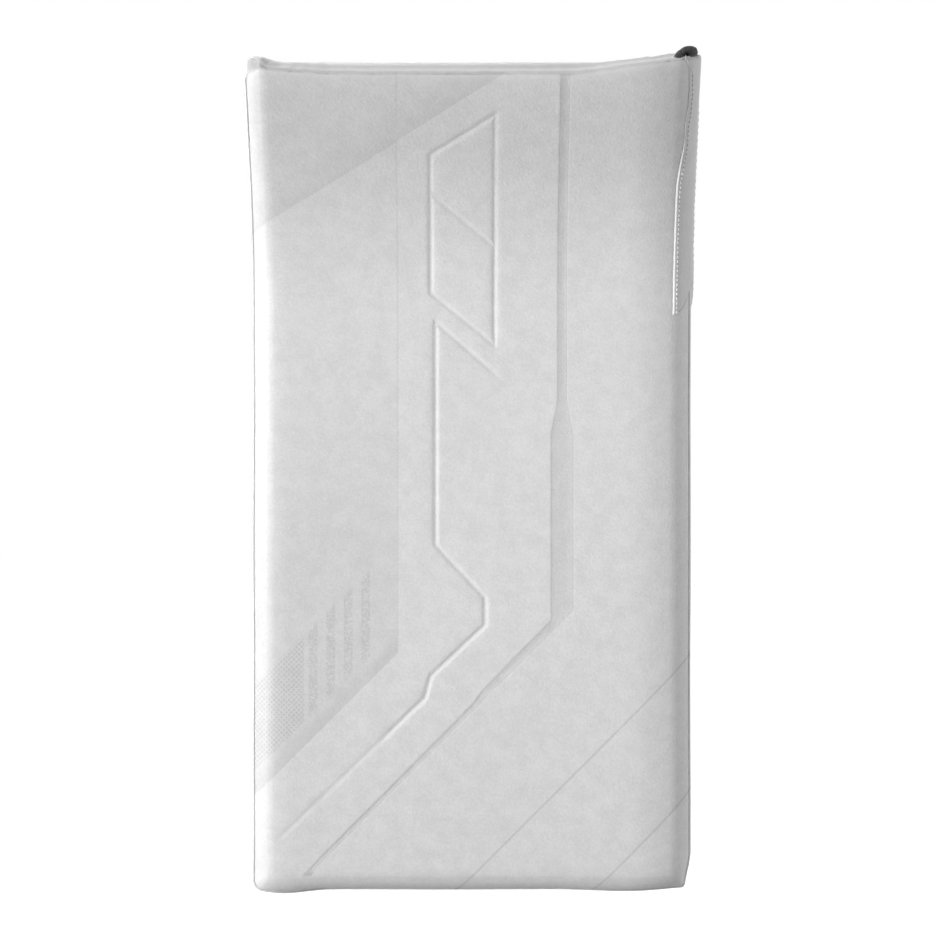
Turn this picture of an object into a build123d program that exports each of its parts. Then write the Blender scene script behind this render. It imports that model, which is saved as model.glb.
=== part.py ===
"""Goalkeeper's blocker: a bent, padded blocking board with a side flap and a glove behind it.

Millimetres. +Z points to the finger end, the blocking face looks along -Y, and the thumb and the
flap are on +X. The origin is the centre of the hand space inside the palm.
"""

import os
from math import cos, radians, sin

from build123d import *

# Board
BOARD_WIDTH = 203.2
BOARD_LENGTH = 372.7  # along the face, round its bend
BOARD_CENTRE_X = -18.0
HEEL_Z = -190.5  # the board's bottom edge
BOARD_BACK_Y = -38.0
BEND_START = 0.72  # share of the board that lies straight below the bend
BEND_RUN = 62.0  # length of the bend along the face
BEND_ANGLE = 25.0
EDGE_RADIUS = 10.0
CORNER_RADIUS = 7.0

# Layers of the board, from the face to the back
COVER_WALL = 4.0
IMPACT_FOAM_THICKNESS = 12.0
STIFFENER_THICKNESS = 1.6
LINER_FOAM_THICKNESS = 6.6
BACK_PANEL_THICKNESS = 3.0
GLUE_LINE = 0.2
GUSSET_THICKNESS = 3.0
LACE_TUNNEL = 7.0  # room under the top gusset
BINDING_WIDTH = 7.0
BINDING_THICKNESS = 3.0

# Channels pressed into the face, placed from the board's centre line
CHANNEL_WIDTH = 3.4
CHANNEL_DEPTH = 1.2
CELL_LEFT_X = -18.0
CELL_RIGHT_X = 12.0
CELL_SLOPE = 26.0  # fall of a cell's edge from left to right
UPPER_CELL_Z = 145.0  # left end of the upper cell's top edge
UPPER_CELL_RISE = 20.0
MIDDLE_CELL_Z = 127.0
LOWER_CELL_Z = 70.0
CELL_SPACE = 13.0
SPINE_FOOT_Z = -32.0
SPINE_TAIL_X = -88.0
RAIL_DEPTH = 0.6
RAIL_X = 44.0
RAIL_WIDTH = 5.0
RAIL_WIDE = 11.0
RAIL_STEP_Z = 30.0
RAIL_STEP_RUN = 12.0
RAIL_FOOT_Z = -64.0

# Side flap
FLAP_THICKNESS = 14.0
FLAP_PROUD = 2.4
FLAP_SKIN = 2.0
FLAP_TAIL = 3.8  # how far the flap runs below the bend
FLAP_REAR_Y = 30.0
FLAP_TOP_DROP = 6.0
FLAP_REAR_RADIUS = 20.0
FLAP_SWEEP = 34.0
STRIP_THICKNESS = 0.9
STRIP_OVERLAP = 11.0

# Corner lace
LACE_DIAMETER = 3.6
LACE_STRANDS = 8
LACE_BEND_RADIUS = 4.0
LACE_FROM_EDGE = 7.0
LACE_LEG = 4.0
LACE_DEPTH = 14.0
EYELET_RIM = 1.2
EYELET_FLANGE = 0.8
EYELET_CLEARANCE = 0.3

# Glove
SEAT = 0.3  # gap between pieces that bear on each other
HAND_SPACE_DEPTH = 40.0
HAND_SPACE_HALF_WIDTH = 50.0
WRIST_HALF_WIDTH = 42.0
KNUCKLE_Z = 50.0
WRIST_Z = -50.0
LEATHER = 3.0
HAND_BACK_THICKNESS = 7.4
RISER_WIDTH = 104.0
RISER_RADIUS = 12.0
RISER_TOP_Z = 96.0
RISER_BOTTOM_Z = -160.0
PALM_RADIUS = 7.0
PALM_RAMP_Z = 0.0  # the palm thins from here to the knuckles
PATCH_THICKNESS = 1.6
PATCH_INSET = 14.0

# Fingers and thumb
FINGER_DEPTH = 28.0
FINGER_GAP = 0.6
FINGER_RADIUS = 9.0
TIP_TAPER = 6.0
INDEX_LENGTH = 74.0
MIDDLE_LENGTH = 82.0
RING_LENGTH = 76.0
LITTLE_LENGTH = 62.0
THUMB_LENGTH = 70.0
THUMB_WIDTH = 25.0
THUMB_BASE_Z = -18.0
GUARD_THICKNESS = 4.0
GUARD_START = 8.0  # above the thumb stall's open end
GUARD_COVER = 0.6  # share of the stall's width that the guard wraps

# Cuff and straps
CUFF_WALL = 6.0
CUFF_LINER = 1.6
CUFF_END_Z = -162.0
CUFF_FLARE_TOP_Z = -84.0
CUFF_FLARE_BOTTOM_Z = -112.0
CUFF_HALF_WIDTH = 60.0
CUFF_EDGE_Y = 24.0
STRAP_THICKNESS = 2.4
WRIST_STRAP_WIDTH = 28.0
WRIST_STRAP_Z = -68.0
CUFF_STRAP_WIDTH = 32.0
CUFF_STRAP_Z = -136.0
STRAP_END_DEPTH = 30.0
LOOP_PATCH_THICKNESS = 1.0
ANCHOR_THICKNESS = 1.6
ANCHOR_DEPTH = 22.0

FINGER_LENGTHS = {
    "index": INDEX_LENGTH,
    "middle": MIDDLE_LENGTH,
    "ring": RING_LENGTH,
    "little": LITTLE_LENGTH,
}
BOARD_THICKNESS = (
    COVER_WALL
    + IMPACT_FOAM_THICKNESS
    + STIFFENER_THICKNESS
    + LINER_FOAM_THICKNESS
    + BACK_PANEL_THICKNESS
    + 4 * GLUE_LINE
)
FACE_Y = BOARD_BACK_Y - BOARD_THICKNESS
BOARD_LEFT_X = BOARD_CENTRE_X - BOARD_WIDTH / 2
BOARD_RIGHT_X = BOARD_CENTRE_X + BOARD_WIDTH / 2
BEND_START_Z = HEEL_Z + BEND_START * BOARD_LENGTH
FLAP_BOTTOM_Z = BEND_START_Z - FLAP_TAIL
BEND = radians(BEND_ANGLE)
BEND_RADIUS = BEND_RUN / BEND
TIP_RUN = BOARD_LENGTH - (BEND_START_Z - HEEL_Z) - BEND_RUN
CUT = 1.0  # overshoot of a cutting tool past the face that it opens
SAME_PLACE = 0.01  # edges nearer than this to a surface lie on it


# The board's bent section


def bend_point(depth, angle):
    """Y, Z of a point on the bend, at a depth behind the face."""
    radius = BEND_RADIUS + depth
    return (FACE_Y - BEND_RADIUS + radius * cos(angle), BEND_START_Z + radius * sin(angle))


def tip_point(depth, top_inset):
    """Y, Z of a point on the straight tip, measured back from the board's top end."""
    y, z = bend_point(depth, BEND)
    run = TIP_RUN - top_inset
    return (y - run * sin(BEND), z + run * cos(BEND))


def contour(depth, bottom_z, top_inset):
    """The line that the board follows at a depth behind its face: straight, bend, straight."""
    start = (FACE_Y + depth, bottom_z)
    flat = Line(start, bend_point(depth, 0))
    bend = ThreePointArc(bend_point(depth, 0), bend_point(depth, BEND / 2), bend_point(depth, BEND))
    tip = Line(bend_point(depth, BEND), tip_point(depth, top_inset))
    return [flat, bend, tip]


def board_slab(front, back, left_x, right_x, bottom_z, top_inset):
    """Solid between two depths behind the face and two X positions."""
    front_line = contour(front, bottom_z, top_inset)
    back_line = contour(back, bottom_z, top_inset)
    top = Line(tip_point(front, top_inset), tip_point(back, top_inset))
    bottom = Line((FACE_Y + front, bottom_z), (FACE_Y + back, bottom_z))
    outline = make_face(Plane.YZ * Curve(children=front_line + back_line + [top, bottom]))
    return Pos(left_x, 0, 0) * extrude(outline, right_x - left_x, dir=(1, 0, 0))


def board_layer(front, back, inset, top_inset, corner_radius=0.0):
    """Slab inset from the board's sides and bottom, with its bottom corners rounded."""
    left_x, right_x = BOARD_LEFT_X + inset, BOARD_RIGHT_X - inset
    bottom_z = HEEL_Z + inset
    slab = board_slab(front, back, left_x, right_x, bottom_z, top_inset)
    if corner_radius > 0:
        corners = slab.edges().filter_by(Axis.Y).group_by(Axis.Z)[0]
        slab = fillet(corners, corner_radius)
    return slab


def front_edges(slab, front, top_inset):
    """Edges of a slab that border its front surface, without the one at the open top end."""
    top_y, top_z = tip_point(front, top_inset)
    chosen = []
    for edge in slab.edges():
        middle = edge.position_at(0.5)
        at_top = abs(middle.Y - top_y) < SAME_PLACE and abs(middle.Z - top_z) < SAME_PLACE
        if not at_top and abs(depth_of(middle) - front) < SAME_PLACE:
            chosen.append(edge)
    return chosen


def depth_of(point):
    """Depth of a point behind the face."""
    if point.Z <= BEND_START_Z:
        return point.Y - FACE_Y
    centre_y = FACE_Y - BEND_RADIUS
    end_y, end_z = bend_point(0, BEND)
    past_bend = (point.Z - end_z) * cos(BEND) - (point.Y - end_y) * sin(BEND)
    if past_bend <= 0:
        return ((point.Y - centre_y) ** 2 + (point.Z - BEND_START_Z) ** 2) ** 0.5 - BEND_RADIUS
    return (point.Y - end_y) * cos(BEND) + (point.Z - end_z) * sin(BEND)


def top_plane(depth):
    """Plane on the board's top end: local X across the board, Y into its depth, Z outward."""
    y, z = tip_point(depth, 0)
    return Plane(origin=(0, y, z), x_dir=(1, 0, 0), z_dir=(0, -sin(BEND), cos(BEND)))


# Board pieces


def polygon(points):
    """Flat outline in the XZ plane, seen from the face, placed from the board's centre line."""
    corners = [(BOARD_CENTRE_X + x, z) for x, z in points]
    return Plane.XZ * make_face(Polyline(*corners, close=True))


def pressed(outline, depth):
    """The part of the board's surface that an outline covers, down to a depth."""
    reach = BOARD_LENGTH
    tool = Pos(0, reach, 0) * extrude(outline, 2 * reach, dir=(0, -1, 0))
    skin = board_slab(-CUT, depth, BOARD_LEFT_X, BOARD_RIGHT_X, HEEL_Z, 0)
    return tool & skin


def groove(points, close=False):
    """Outline of a channel of even width along a line of points."""
    corners = [(BOARD_CENTRE_X + x, z) for x, z in points]
    return Plane.XZ * trace(Polyline(*corners, close=close), CHANNEL_WIDTH)


def cell_grooves():
    """Channels round the two closed cells and along the open spine under them."""
    left, right = CELL_LEFT_X, CELL_RIGHT_X
    upper_foot = MIDDLE_CELL_Z
    middle_foot = LOWER_CELL_Z + CELL_SPACE
    upper = [
        (left, UPPER_CELL_Z),
        (right, UPPER_CELL_Z + UPPER_CELL_RISE),
        (right, upper_foot - CELL_SLOPE),
        (left, upper_foot),
    ]
    middle = [
        (left, upper_foot),
        (right, upper_foot - CELL_SLOPE),
        (right, middle_foot - CELL_SLOPE),
        (left, middle_foot),
    ]
    step = right - left
    spine = [
        (right, LOWER_CELL_Z - CELL_SLOPE),
        (left, LOWER_CELL_Z),
        (left, SPINE_FOOT_Z),
        (right - step / 5, SPINE_FOOT_Z - step * 4 / 5),
        (right - step / 5, SPINE_FOOT_Z - step * 6 / 5),
        (left, SPINE_FOOT_Z - step * 2),
        (left, SPINE_FOOT_Z - step * 2 - CELL_SPACE / 2),
        (SPINE_TAIL_X, SPINE_FOOT_Z - step * 2 - CELL_SPACE / 2 - (left - SPINE_TAIL_X)),
    ]
    return [groove(upper, True), groove(middle, True), groove(spine)]


def rail_outline():
    """The long pressed rail: straight from the top, wider in the middle, then off to one side."""
    narrow, wide = RAIL_WIDTH / 2, RAIL_WIDE / 2
    step_foot = RAIL_STEP_Z - RAIL_STEP_RUN
    fall = RAIL_FOOT_Z - HEEL_Z
    return polygon(
        [
            (RAIL_X - narrow, BOARD_LENGTH + HEEL_Z),
            (RAIL_X + narrow, BOARD_LENGTH + HEEL_Z),
            (RAIL_X + narrow, RAIL_STEP_Z),
            (RAIL_X + wide, step_foot),
            (RAIL_X + wide, RAIL_FOOT_Z),
            (RAIL_X + wide - fall, HEEL_Z),
            (RAIL_X + wide - fall - RAIL_WIDTH, HEEL_Z),
            (RAIL_X - wide, RAIL_FOOT_Z - RAIL_WIDE + RAIL_WIDTH),
            (RAIL_X - wide, step_foot),
            (RAIL_X - narrow, RAIL_STEP_Z),
        ]
    )


def make_face_cover():
    """Tray that wraps the face, both sides and the bottom, with its pressed channels."""
    block = board_layer(0, BOARD_THICKNESS, 0, 0, CORNER_RADIUS)
    block = fillet(front_edges(block, 0, 0), EDGE_RADIUS)
    back = BOARD_THICKNESS + CUT
    room = board_layer(COVER_WALL, back, COVER_WALL, -CUT)
    room = chamfer(front_edges(room, COVER_WALL, -CUT), EDGE_RADIUS - COVER_WALL)
    cover = block - room - end_recess() - lace_notch()
    for outline in cell_grooves():
        cover -= pressed(outline, CHANNEL_DEPTH)
    return cover - pressed(rail_outline(), RAIL_DEPTH)


def end_recess():
    """Step in the tray's end, behind the face wall, that the gusset lies in."""
    depth = BOARD_THICKNESS - COVER_WALL + CUT
    height = GUSSET_THICKNESS + GLUE_LINE + CUT
    step = Box(
        BOARD_WIDTH + 2 * CUT, depth, height, align=(Align.CENTER, Align.MIN, Align.MAX)
    )
    return top_plane(0) * Pos(BOARD_CENTRE_X, COVER_WALL, CUT) * step


def lace_notch():
    """Room for the outer leg of the corner lace, where the cover's side wall passes it."""
    outer_x = lace_holes()[1] + LACE_DIAMETER / 2 + EYELET_CLEARANCE
    size = (
        outer_x - BOARD_RIGHT_X + COVER_WALL + CUT,
        LACE_DIAMETER + 4 * EYELET_CLEARANCE,
        2 * (GUSSET_THICKNESS + LACE_LEG + EYELET_CLEARANCE),
    )
    return top_plane(0) * Pos(outer_x - size[0] / 2, LACE_DEPTH, 0) * Box(*size)


def filling_layer(front, thickness):
    """Layer that fills the tray from side to side and stops at the lace tunnel."""
    inset = COVER_WALL + GLUE_LINE
    return board_layer(front, front + thickness, inset, GUSSET_THICKNESS + LACE_TUNNEL)


def make_impact_foam(front):
    """Foam behind the face, its front edges cut to fit the tray."""
    foam = filling_layer(front, IMPACT_FOAM_THICKNESS)
    top_inset = GUSSET_THICKNESS + LACE_TUNNEL
    return chamfer(front_edges(foam, front, top_inset), EDGE_RADIUS - COVER_WALL)


def make_back_panel(front):
    """Panel that closes the tray's back and reaches the top gusset."""
    inset = COVER_WALL + GLUE_LINE
    top_inset = GUSSET_THICKNESS + GLUE_LINE
    return board_layer(front, BOARD_THICKNESS, inset, top_inset)


def make_rear_binding():
    """Tape sewn round the rear edge."""
    front = BOARD_THICKNESS + SEAT
    back = front + BINDING_THICKNESS
    outer = board_layer(front, back, SEAT, SEAT, CORNER_RADIUS)
    inset = SEAT + BINDING_WIDTH
    inner = board_layer(front - CUT, back + CUT, inset, inset)
    return outer - inner


def lace_holes():
    """X positions of the two lace eyelets."""
    middle = BOARD_RIGHT_X - LACE_FROM_EDGE
    return [middle - LACE_BEND_RADIUS, middle + LACE_BEND_RADIUS]


def eyelet_bore():
    return LACE_DIAMETER / 2 + EYELET_CLEARANCE


def make_top_gusset():
    """Strip that closes the end behind the face wall, with the two lace holes."""
    plane = top_plane(0)
    front = COVER_WALL + GLUE_LINE
    strip = Box(
        BOARD_WIDTH,
        BOARD_THICKNESS - front,
        GUSSET_THICKNESS,
        align=(Align.CENTER, Align.MIN, Align.MAX),
    )
    strip = Pos(BOARD_CENTRE_X, front, 0) * strip
    corners = strip.edges().filter_by(Axis.Z).group_by(Axis.Y)
    strip = fillet(corners[0], EDGE_RADIUS - COVER_WALL)
    strip = chamfer(strip.faces().sort_by(Axis.Z)[-1].edges(), GUSSET_THICKNESS / 4)
    hole = Cylinder(eyelet_bore() + EYELET_RIM / 2 + GLUE_LINE, 3 * GUSSET_THICKNESS)
    for x in lace_holes():
        strip -= Pos(x, LACE_DEPTH, 0) * hole
    return plane * strip


def make_lace_eyelets():
    """Two flanged eyelets set in the gusset."""
    barrel_radius = eyelet_bore() + EYELET_RIM / 2
    eyelet = Pos(0, 0, -GUSSET_THICKNESS / 2) * Cylinder(barrel_radius, GUSSET_THICKNESS)
    rise = GLUE_LINE + EYELET_FLANGE
    flange_radius = barrel_radius + EYELET_RIM / 2
    eyelet += Pos(0, 0, rise / 2) * Cylinder(barrel_radius, rise)
    eyelet += Pos(0, 0, GLUE_LINE + EYELET_FLANGE / 2) * Cylinder(flange_radius, EYELET_FLANGE)
    eyelet -= Cylinder(eyelet_bore(), 4 * GUSSET_THICKNESS)
    solids = [top_plane(0) * Pos(x, LACE_DEPTH, 0) * eyelet for x in lace_holes()]
    return Compound(children=solids)


def make_corner_lace():
    """Lace that comes up one eyelet, bends tightly over and goes down the other."""
    left, right = lace_holes()
    middle = (left + right) / 2
    foot = -GUSSET_THICKNESS - LACE_LEG
    rise = EYELET_FLANGE + GLUE_LINE
    route = Line((left, foot), (left, rise))
    route += ThreePointArc((left, rise), (middle, rise + LACE_BEND_RADIUS), (right, rise))
    route += Line((right, rise), (right, foot))
    section = RegularPolygon(LACE_DIAMETER / 2, LACE_STRANDS)
    lace = sweep(Pos(left, 0, foot) * section, path=Plane.XZ * route)
    return top_plane(0) * Pos(0, LACE_DEPTH, 0) * lace


# Side flap


FLAP_FRONT_DEPTH = BOARD_THICKNESS + BINDING_THICKNESS + 2 * SEAT
FLAP_OUTER_X = BOARD_RIGHT_X + FLAP_PROUD


def flap_outline(inset):
    """The flap's side view, inset all round: its front follows the board, its back is swept."""
    front = contour(FLAP_FRONT_DEPTH + inset, FLAP_BOTTOM_Z + inset, FLAP_TOP_DROP + inset)
    top_y, top_z = tip_point(FLAP_FRONT_DEPTH + inset, FLAP_TOP_DROP + inset)
    rear_y = FLAP_REAR_Y - inset
    sweep_z = FLAP_BOTTOM_Z + FLAP_SWEEP
    back = Polyline(
        (top_y, top_z),
        (rear_y, top_z),
        (rear_y, sweep_z),
        (rear_y - FLAP_SWEEP, FLAP_BOTTOM_Z + inset),
        (FACE_Y + FLAP_FRONT_DEPTH + inset, FLAP_BOTTOM_Z + inset),
    )
    outline = make_face(Plane.YZ * Curve(children=front + [back]))
    rear = outline.vertices().filter_by(lambda v: v.Y > rear_y - FLAP_SWEEP - 1)
    return fillet(rear, FLAP_REAR_RADIUS - inset)


def flap_slab(inset, inner_x, outer_x):
    return Pos(inner_x, 0, 0) * extrude(flap_outline(inset), outer_x - inner_x, dir=(1, 0, 0))


def make_flap_cover():
    """Moulded outer skin of the flap, open on the thumb's side."""
    inner_x = FLAP_OUTER_X - FLAP_THICKNESS
    block = flap_slab(0, inner_x, FLAP_OUTER_X)
    rim = block.faces().sort_by(Axis.X)[-1].edges()
    block = chamfer(rim, FLAP_SKIN)
    return block - flap_slab(FLAP_SKIN, inner_x - CUT, FLAP_OUTER_X - FLAP_SKIN)


def make_flap_foam():
    """Core of the flap."""
    inner_x = FLAP_OUTER_X - FLAP_THICKNESS + FLAP_SKIN + GLUE_LINE
    return flap_slab(FLAP_SKIN + GLUE_LINE, inner_x, FLAP_OUTER_X - FLAP_SKIN - GLUE_LINE)


def make_flap_liner():
    """Panel that closes the flap on the thumb's side."""
    inner_x = FLAP_OUTER_X - FLAP_THICKNESS
    return flap_slab(FLAP_SKIN + GLUE_LINE, inner_x, inner_x + FLAP_SKIN)


def make_flap_strip():
    """Leather strip wrapped over the board's right edge, from the face to the flap's root."""
    lift = GLUE_LINE + STRIP_THICKNESS
    back = BOARD_THICKNESS + SEAT + BINDING_THICKNESS
    outer = board_layer(-lift, back, -lift, 0)
    outer = fillet(front_edges(outer, -lift, 0), EDGE_RADIUS + lift)
    inner = board_layer(-GLUE_LINE, back + CUT, -GLUE_LINE, -CUT)
    inner = fillet(front_edges(inner, -GLUE_LINE, -CUT), EDGE_RADIUS + GLUE_LINE)
    left_x = BOARD_RIGHT_X - STRIP_OVERLAP
    reach = BOARD_LENGTH
    side = Pos(left_x, -reach, FLAP_BOTTOM_Z) * Box(
        reach, 2 * reach, reach, align=(Align.MIN, Align.MIN, Align.MIN)
    )
    return (outer - inner) & side


# Glove


def knuckle_half_width():
    return HAND_SPACE_HALF_WIDTH + LEATHER


def thumb_root_x():
    """Inner and outer X of the thumb stall."""
    inner_x = knuckle_half_width() + SEAT
    return inner_x, inner_x + THUMB_WIDTH


def palm_outline():
    """The glove's outline between wrist and knuckles, with the thumb's root on one side."""
    wrist = WRIST_HALF_WIDTH + LEATHER
    wide = knuckle_half_width()
    outer_x = thumb_root_x()[1]
    corners = [
        (-wrist, WRIST_Z),
        (wrist, WRIST_Z),
        (outer_x, THUMB_BASE_Z - THUMB_WIDTH / 2),
        (outer_x, THUMB_BASE_Z),
        (wide, THUMB_BASE_Z),
        (wide, KNUCKLE_Z),
        (-wide, KNUCKLE_Z),
        (-wide, THUMB_BASE_Z),
    ]
    return make_face(Polyline(*corners, close=True))


def palm_block(inset):
    """The palm's solid form, inset on every side but the back of the hand, and thinner at the top."""
    back_y = -HAND_SPACE_DEPTH / 2
    palm_y = HAND_SPACE_DEPTH / 2 + LEATHER - inset
    finger_y = back_y + FINGER_DEPTH - inset
    outline = palm_outline()
    if inset > 0:
        outline = offset(outline, -inset)
    top_z = KNUCKLE_Z - inset
    profile = Polyline(
        (back_y, WRIST_Z),
        (palm_y, WRIST_Z),
        (palm_y, PALM_RAMP_Z),
        (finger_y, top_z),
        (back_y, top_z),
        close=True,
    )
    reach = thumb_root_x()[1]
    side_form = Pos(-reach, 0, 0) * extrude(
        Plane.YZ * make_face(profile), 2 * reach, dir=(1, 0, 0)
    )
    block = extrude(Plane.XZ * outline, palm_y + HAND_SPACE_DEPTH, dir=(0, 1, 0), both=True)
    block = block & side_form
    rim = [edge for edge in block.edges() if on_palm_side(edge, palm_y, finger_y, top_z)]
    return fillet(rim, PALM_RADIUS - inset)


def on_palm_side(edge, palm_y, finger_y, top_z):
    """Whether an edge runs up a side of the palm's flat or of its ramp."""
    middle = edge.position_at(0.5)
    slope = (palm_y - finger_y) / (top_z - PALM_RAMP_Z)
    surface_y = palm_y - max(0, middle.Z - PALM_RAMP_Z) * slope
    ends_z = [vertex.Z for vertex in edge.vertices()]
    level = abs(max(ends_z) - min(ends_z)) < SAME_PLACE
    return abs(middle.Y - surface_y) < SAME_PLACE and not level


def stall_places():
    """Each finger stall's middle X and width, from the index finger to the little finger."""
    count = len(FINGER_LENGTHS)
    width = (2 * knuckle_half_width() - (count - 1) * FINGER_GAP) / count
    start = knuckle_half_width() - width / 2
    return {
        name: (start - number * (width + FINGER_GAP), width)
        for number, name in enumerate(FINGER_LENGTHS)
    }


def stall_bore(middle_x, width, start_z, end_z):
    """Room inside a stall, between two heights."""
    middle_y = (FINGER_DEPTH - HAND_SPACE_DEPTH) / 2
    section = Rectangle(width - 2 * LEATHER, FINGER_DEPTH - 2 * LEATHER)
    section = chamfer(section.vertices(), FINGER_RADIUS - LEATHER)
    return Pos(middle_x, middle_y, start_z) * extrude(section, end_z - start_z, dir=(0, 0, 1))


def stall_mouth(middle_x, width, z):
    """Tool that opens the palm into a stall."""
    middle_y = (FINGER_DEPTH - HAND_SPACE_DEPTH) / 2
    section = RectangleRounded(
        width - 2 * LEATHER, FINGER_DEPTH - 2 * LEATHER, FINGER_RADIUS - LEATHER
    )
    tool = extrude(section, 2 * (LEATHER + CUT), dir=(0, 0, 1))
    return Pos(middle_x, middle_y, z - LEATHER - CUT) * tool


def make_palm():
    """Palm shell: open at the wrist and the back, with a mouth into each finger and the thumb."""
    shell = palm_block(0) - palm_block(LEATHER)
    wrist_mouth = Box(2 * WRIST_HALF_WIDTH, HAND_SPACE_DEPTH, 4 * LEATHER)
    shell -= Pos(0, 0, WRIST_Z) * wrist_mouth
    for middle_x, width in stall_places().values():
        shell -= stall_mouth(middle_x, width, KNUCKLE_Z)
    inner_x, outer_x = thumb_root_x()
    return shell - stall_mouth((inner_x + outer_x) / 2, outer_x - inner_x, THUMB_BASE_Z)


def stall_form(middle_x, width, length, base_z, growth):
    """The outer form of a stall, grown evenly, with a tapered tip."""
    middle_y = (FINGER_DEPTH - HAND_SPACE_DEPTH) / 2
    radius = FINGER_RADIUS + growth
    section = RectangleRounded(width + 2 * growth, FINGER_DEPTH + 2 * growth, radius)
    form = extrude(section, length + growth, dir=(0, 0, 1))
    form = chamfer(form.faces().sort_by(Axis.Z)[-1].edges(), TIP_TAPER + growth)
    return Pos(middle_x, middle_y, base_z) * form


def make_stall(middle_x, width, length, base_z):
    """Closed-ended leather tube for a finger, its open end on the palm."""
    form = stall_form(middle_x, width, length, base_z, 0)
    return form - stall_bore(middle_x, width, base_z - CUT, base_z + length - TIP_TAPER)


def make_thumb_stall():
    inner_x, outer_x = thumb_root_x()
    middle_x = (inner_x + outer_x) / 2
    return make_stall(middle_x, THUMB_WIDTH, THUMB_LENGTH, THUMB_BASE_Z + SEAT)


def make_thumb_guard():
    """Padded shell that wraps the outside and the tip of the thumb."""
    inner_x, outer_x = thumb_root_x()
    middle_x = (inner_x + outer_x) / 2
    base_z = THUMB_BASE_Z + SEAT
    place = (middle_x, THUMB_WIDTH, THUMB_LENGTH, base_z)
    shell = stall_form(*place, SEAT + GUARD_THICKNESS) - stall_form(*place, SEAT)
    reach = 2 * THUMB_LENGTH
    cover = Pos(outer_x - GUARD_COVER * THUMB_WIDTH, 0, base_z + GUARD_START) * Box(
        reach, reach, reach, align=(Align.MIN, Align.CENTER, Align.MIN)
    )
    return shell & cover


def hand_back_y():
    """Y of the padded hand back's front and rear."""
    rear_y = -HAND_SPACE_DEPTH / 2 - SEAT
    return rear_y - HAND_BACK_THICKNESS, rear_y


def make_hand_back():
    """Padded panel over the back of the hand."""
    front_y, rear_y = hand_back_y()
    panel = Pos(0, rear_y, 0) * extrude(
        Plane.XZ * palm_outline(), HAND_BACK_THICKNESS, dir=(0, -1, 0)
    )
    return fillet(panel.faces().sort_by(Axis.Y)[0].edges(), HAND_BACK_THICKNESS / 4)


def make_palm_grip_patch():
    """Grip overlay on the flat of the palm."""
    height = PALM_RAMP_Z - WRIST_Z - 2 * LEATHER
    width = 2 * (knuckle_half_width() - PATCH_INSET)
    patch = Plane.XZ * RectangleRounded(width, height, PATCH_INSET / 2)
    patch = extrude(patch, PATCH_THICKNESS, dir=(0, 1, 0))
    y = HAND_SPACE_DEPTH / 2 + LEATHER + SEAT
    return Pos(0, y, (PALM_RAMP_Z + WRIST_Z) / 2) * patch


def make_riser_pad():
    """Foam block that stands the glove off the board."""
    front_y = BOARD_BACK_Y + SEAT
    rear_y = hand_back_y()[0] - SEAT
    height = RISER_TOP_Z - RISER_BOTTOM_Z
    block = Plane.XZ * RectangleRounded(RISER_WIDTH, height, RISER_RADIUS)
    block = extrude(block, rear_y - front_y, dir=(0, 1, 0))
    return Pos(0, front_y, (RISER_TOP_Z + RISER_BOTTOM_Z) / 2) * block


# Cuff and straps


def cuff_outline(inset, overshoot=0.0):
    """The cuff's outline: straight at the wrist, flared, straight round the forearm."""
    wrist = WRIST_HALF_WIDTH + CUFF_WALL - inset
    mouth = CUFF_HALF_WIDTH + CUFF_WALL - inset
    top_z = WRIST_Z - SEAT + overshoot
    end_z = CUFF_END_Z - overshoot
    right = [(wrist, top_z), (wrist, CUFF_FLARE_TOP_Z), (mouth, CUFF_FLARE_BOTTOM_Z), (mouth, end_z)]
    left = [(-x, z) for x, z in reversed(right)]
    return Plane.XZ * make_face(Polyline(*right, *left, close=True))


def cuff_channel(inset, wall, edge_y):
    """Channel round the wrist and forearm, open on the palm side."""
    back_y = hand_back_y()[0] + inset
    outer = Pos(0, back_y, 0) * extrude(cuff_outline(inset), edge_y - back_y, dir=(0, 1, 0))
    floor_y = back_y + wall
    room = extrude(cuff_outline(inset + wall, CUT), edge_y - floor_y + CUT, dir=(0, 1, 0))
    return outer, Pos(0, floor_y, 0) * room


def make_cuff_pad():
    outer, room = cuff_channel(0, CUFF_WALL, CUFF_EDGE_Y)
    return fillet(outer.faces().sort_by(Axis.Y)[0].edges(), CUFF_WALL / 2) - room


def make_cuff_liner():
    outer, room = cuff_channel(CUFF_WALL + GLUE_LINE, CUFF_LINER, CUFF_EDGE_Y)
    return outer - room


def strap_half_width(z):
    """Half width of the cuff's outside where a strap crosses it."""
    inside = WRIST_HALF_WIDTH if z > CUFF_FLARE_TOP_Z else CUFF_HALF_WIDTH
    return inside + CUFF_WALL


def make_strap(middle_z, width):
    """Strap from its root over the open side, round the far edge and down the outside."""
    half = strap_half_width(middle_z)
    middle_y = CUFF_EDGE_Y + SEAT + STRAP_THICKNESS / 2
    outside_x = half + 2 * SEAT + LOOP_PATCH_THICKNESS + STRAP_THICKNESS / 2
    line = FilletPolyline(
        (-half, middle_y),
        (outside_x, middle_y),
        (outside_x, CUFF_EDGE_Y - STRAP_END_DEPTH),
        radius=1.5 * STRAP_THICKNESS,
    )
    band = extrude(trace(line, STRAP_THICKNESS), width, dir=(0, 0, 1))
    return Pos(0, 0, middle_z - width / 2) * band


def straps():
    return [(WRIST_STRAP_Z, WRIST_STRAP_WIDTH), (CUFF_STRAP_Z, CUFF_STRAP_WIDTH)]


def side_patch(x, thickness, depth, middle_z, width):
    """Thin patch sewn on the outside of the cuff's wall, below its edge."""
    patch = RectangleRounded(depth, width, depth / 8)
    patch = extrude(Plane.YZ * patch, thickness, dir=(1, 0, 0))
    return Pos(x, CUFF_EDGE_Y - depth / 2, middle_z) * patch


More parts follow.
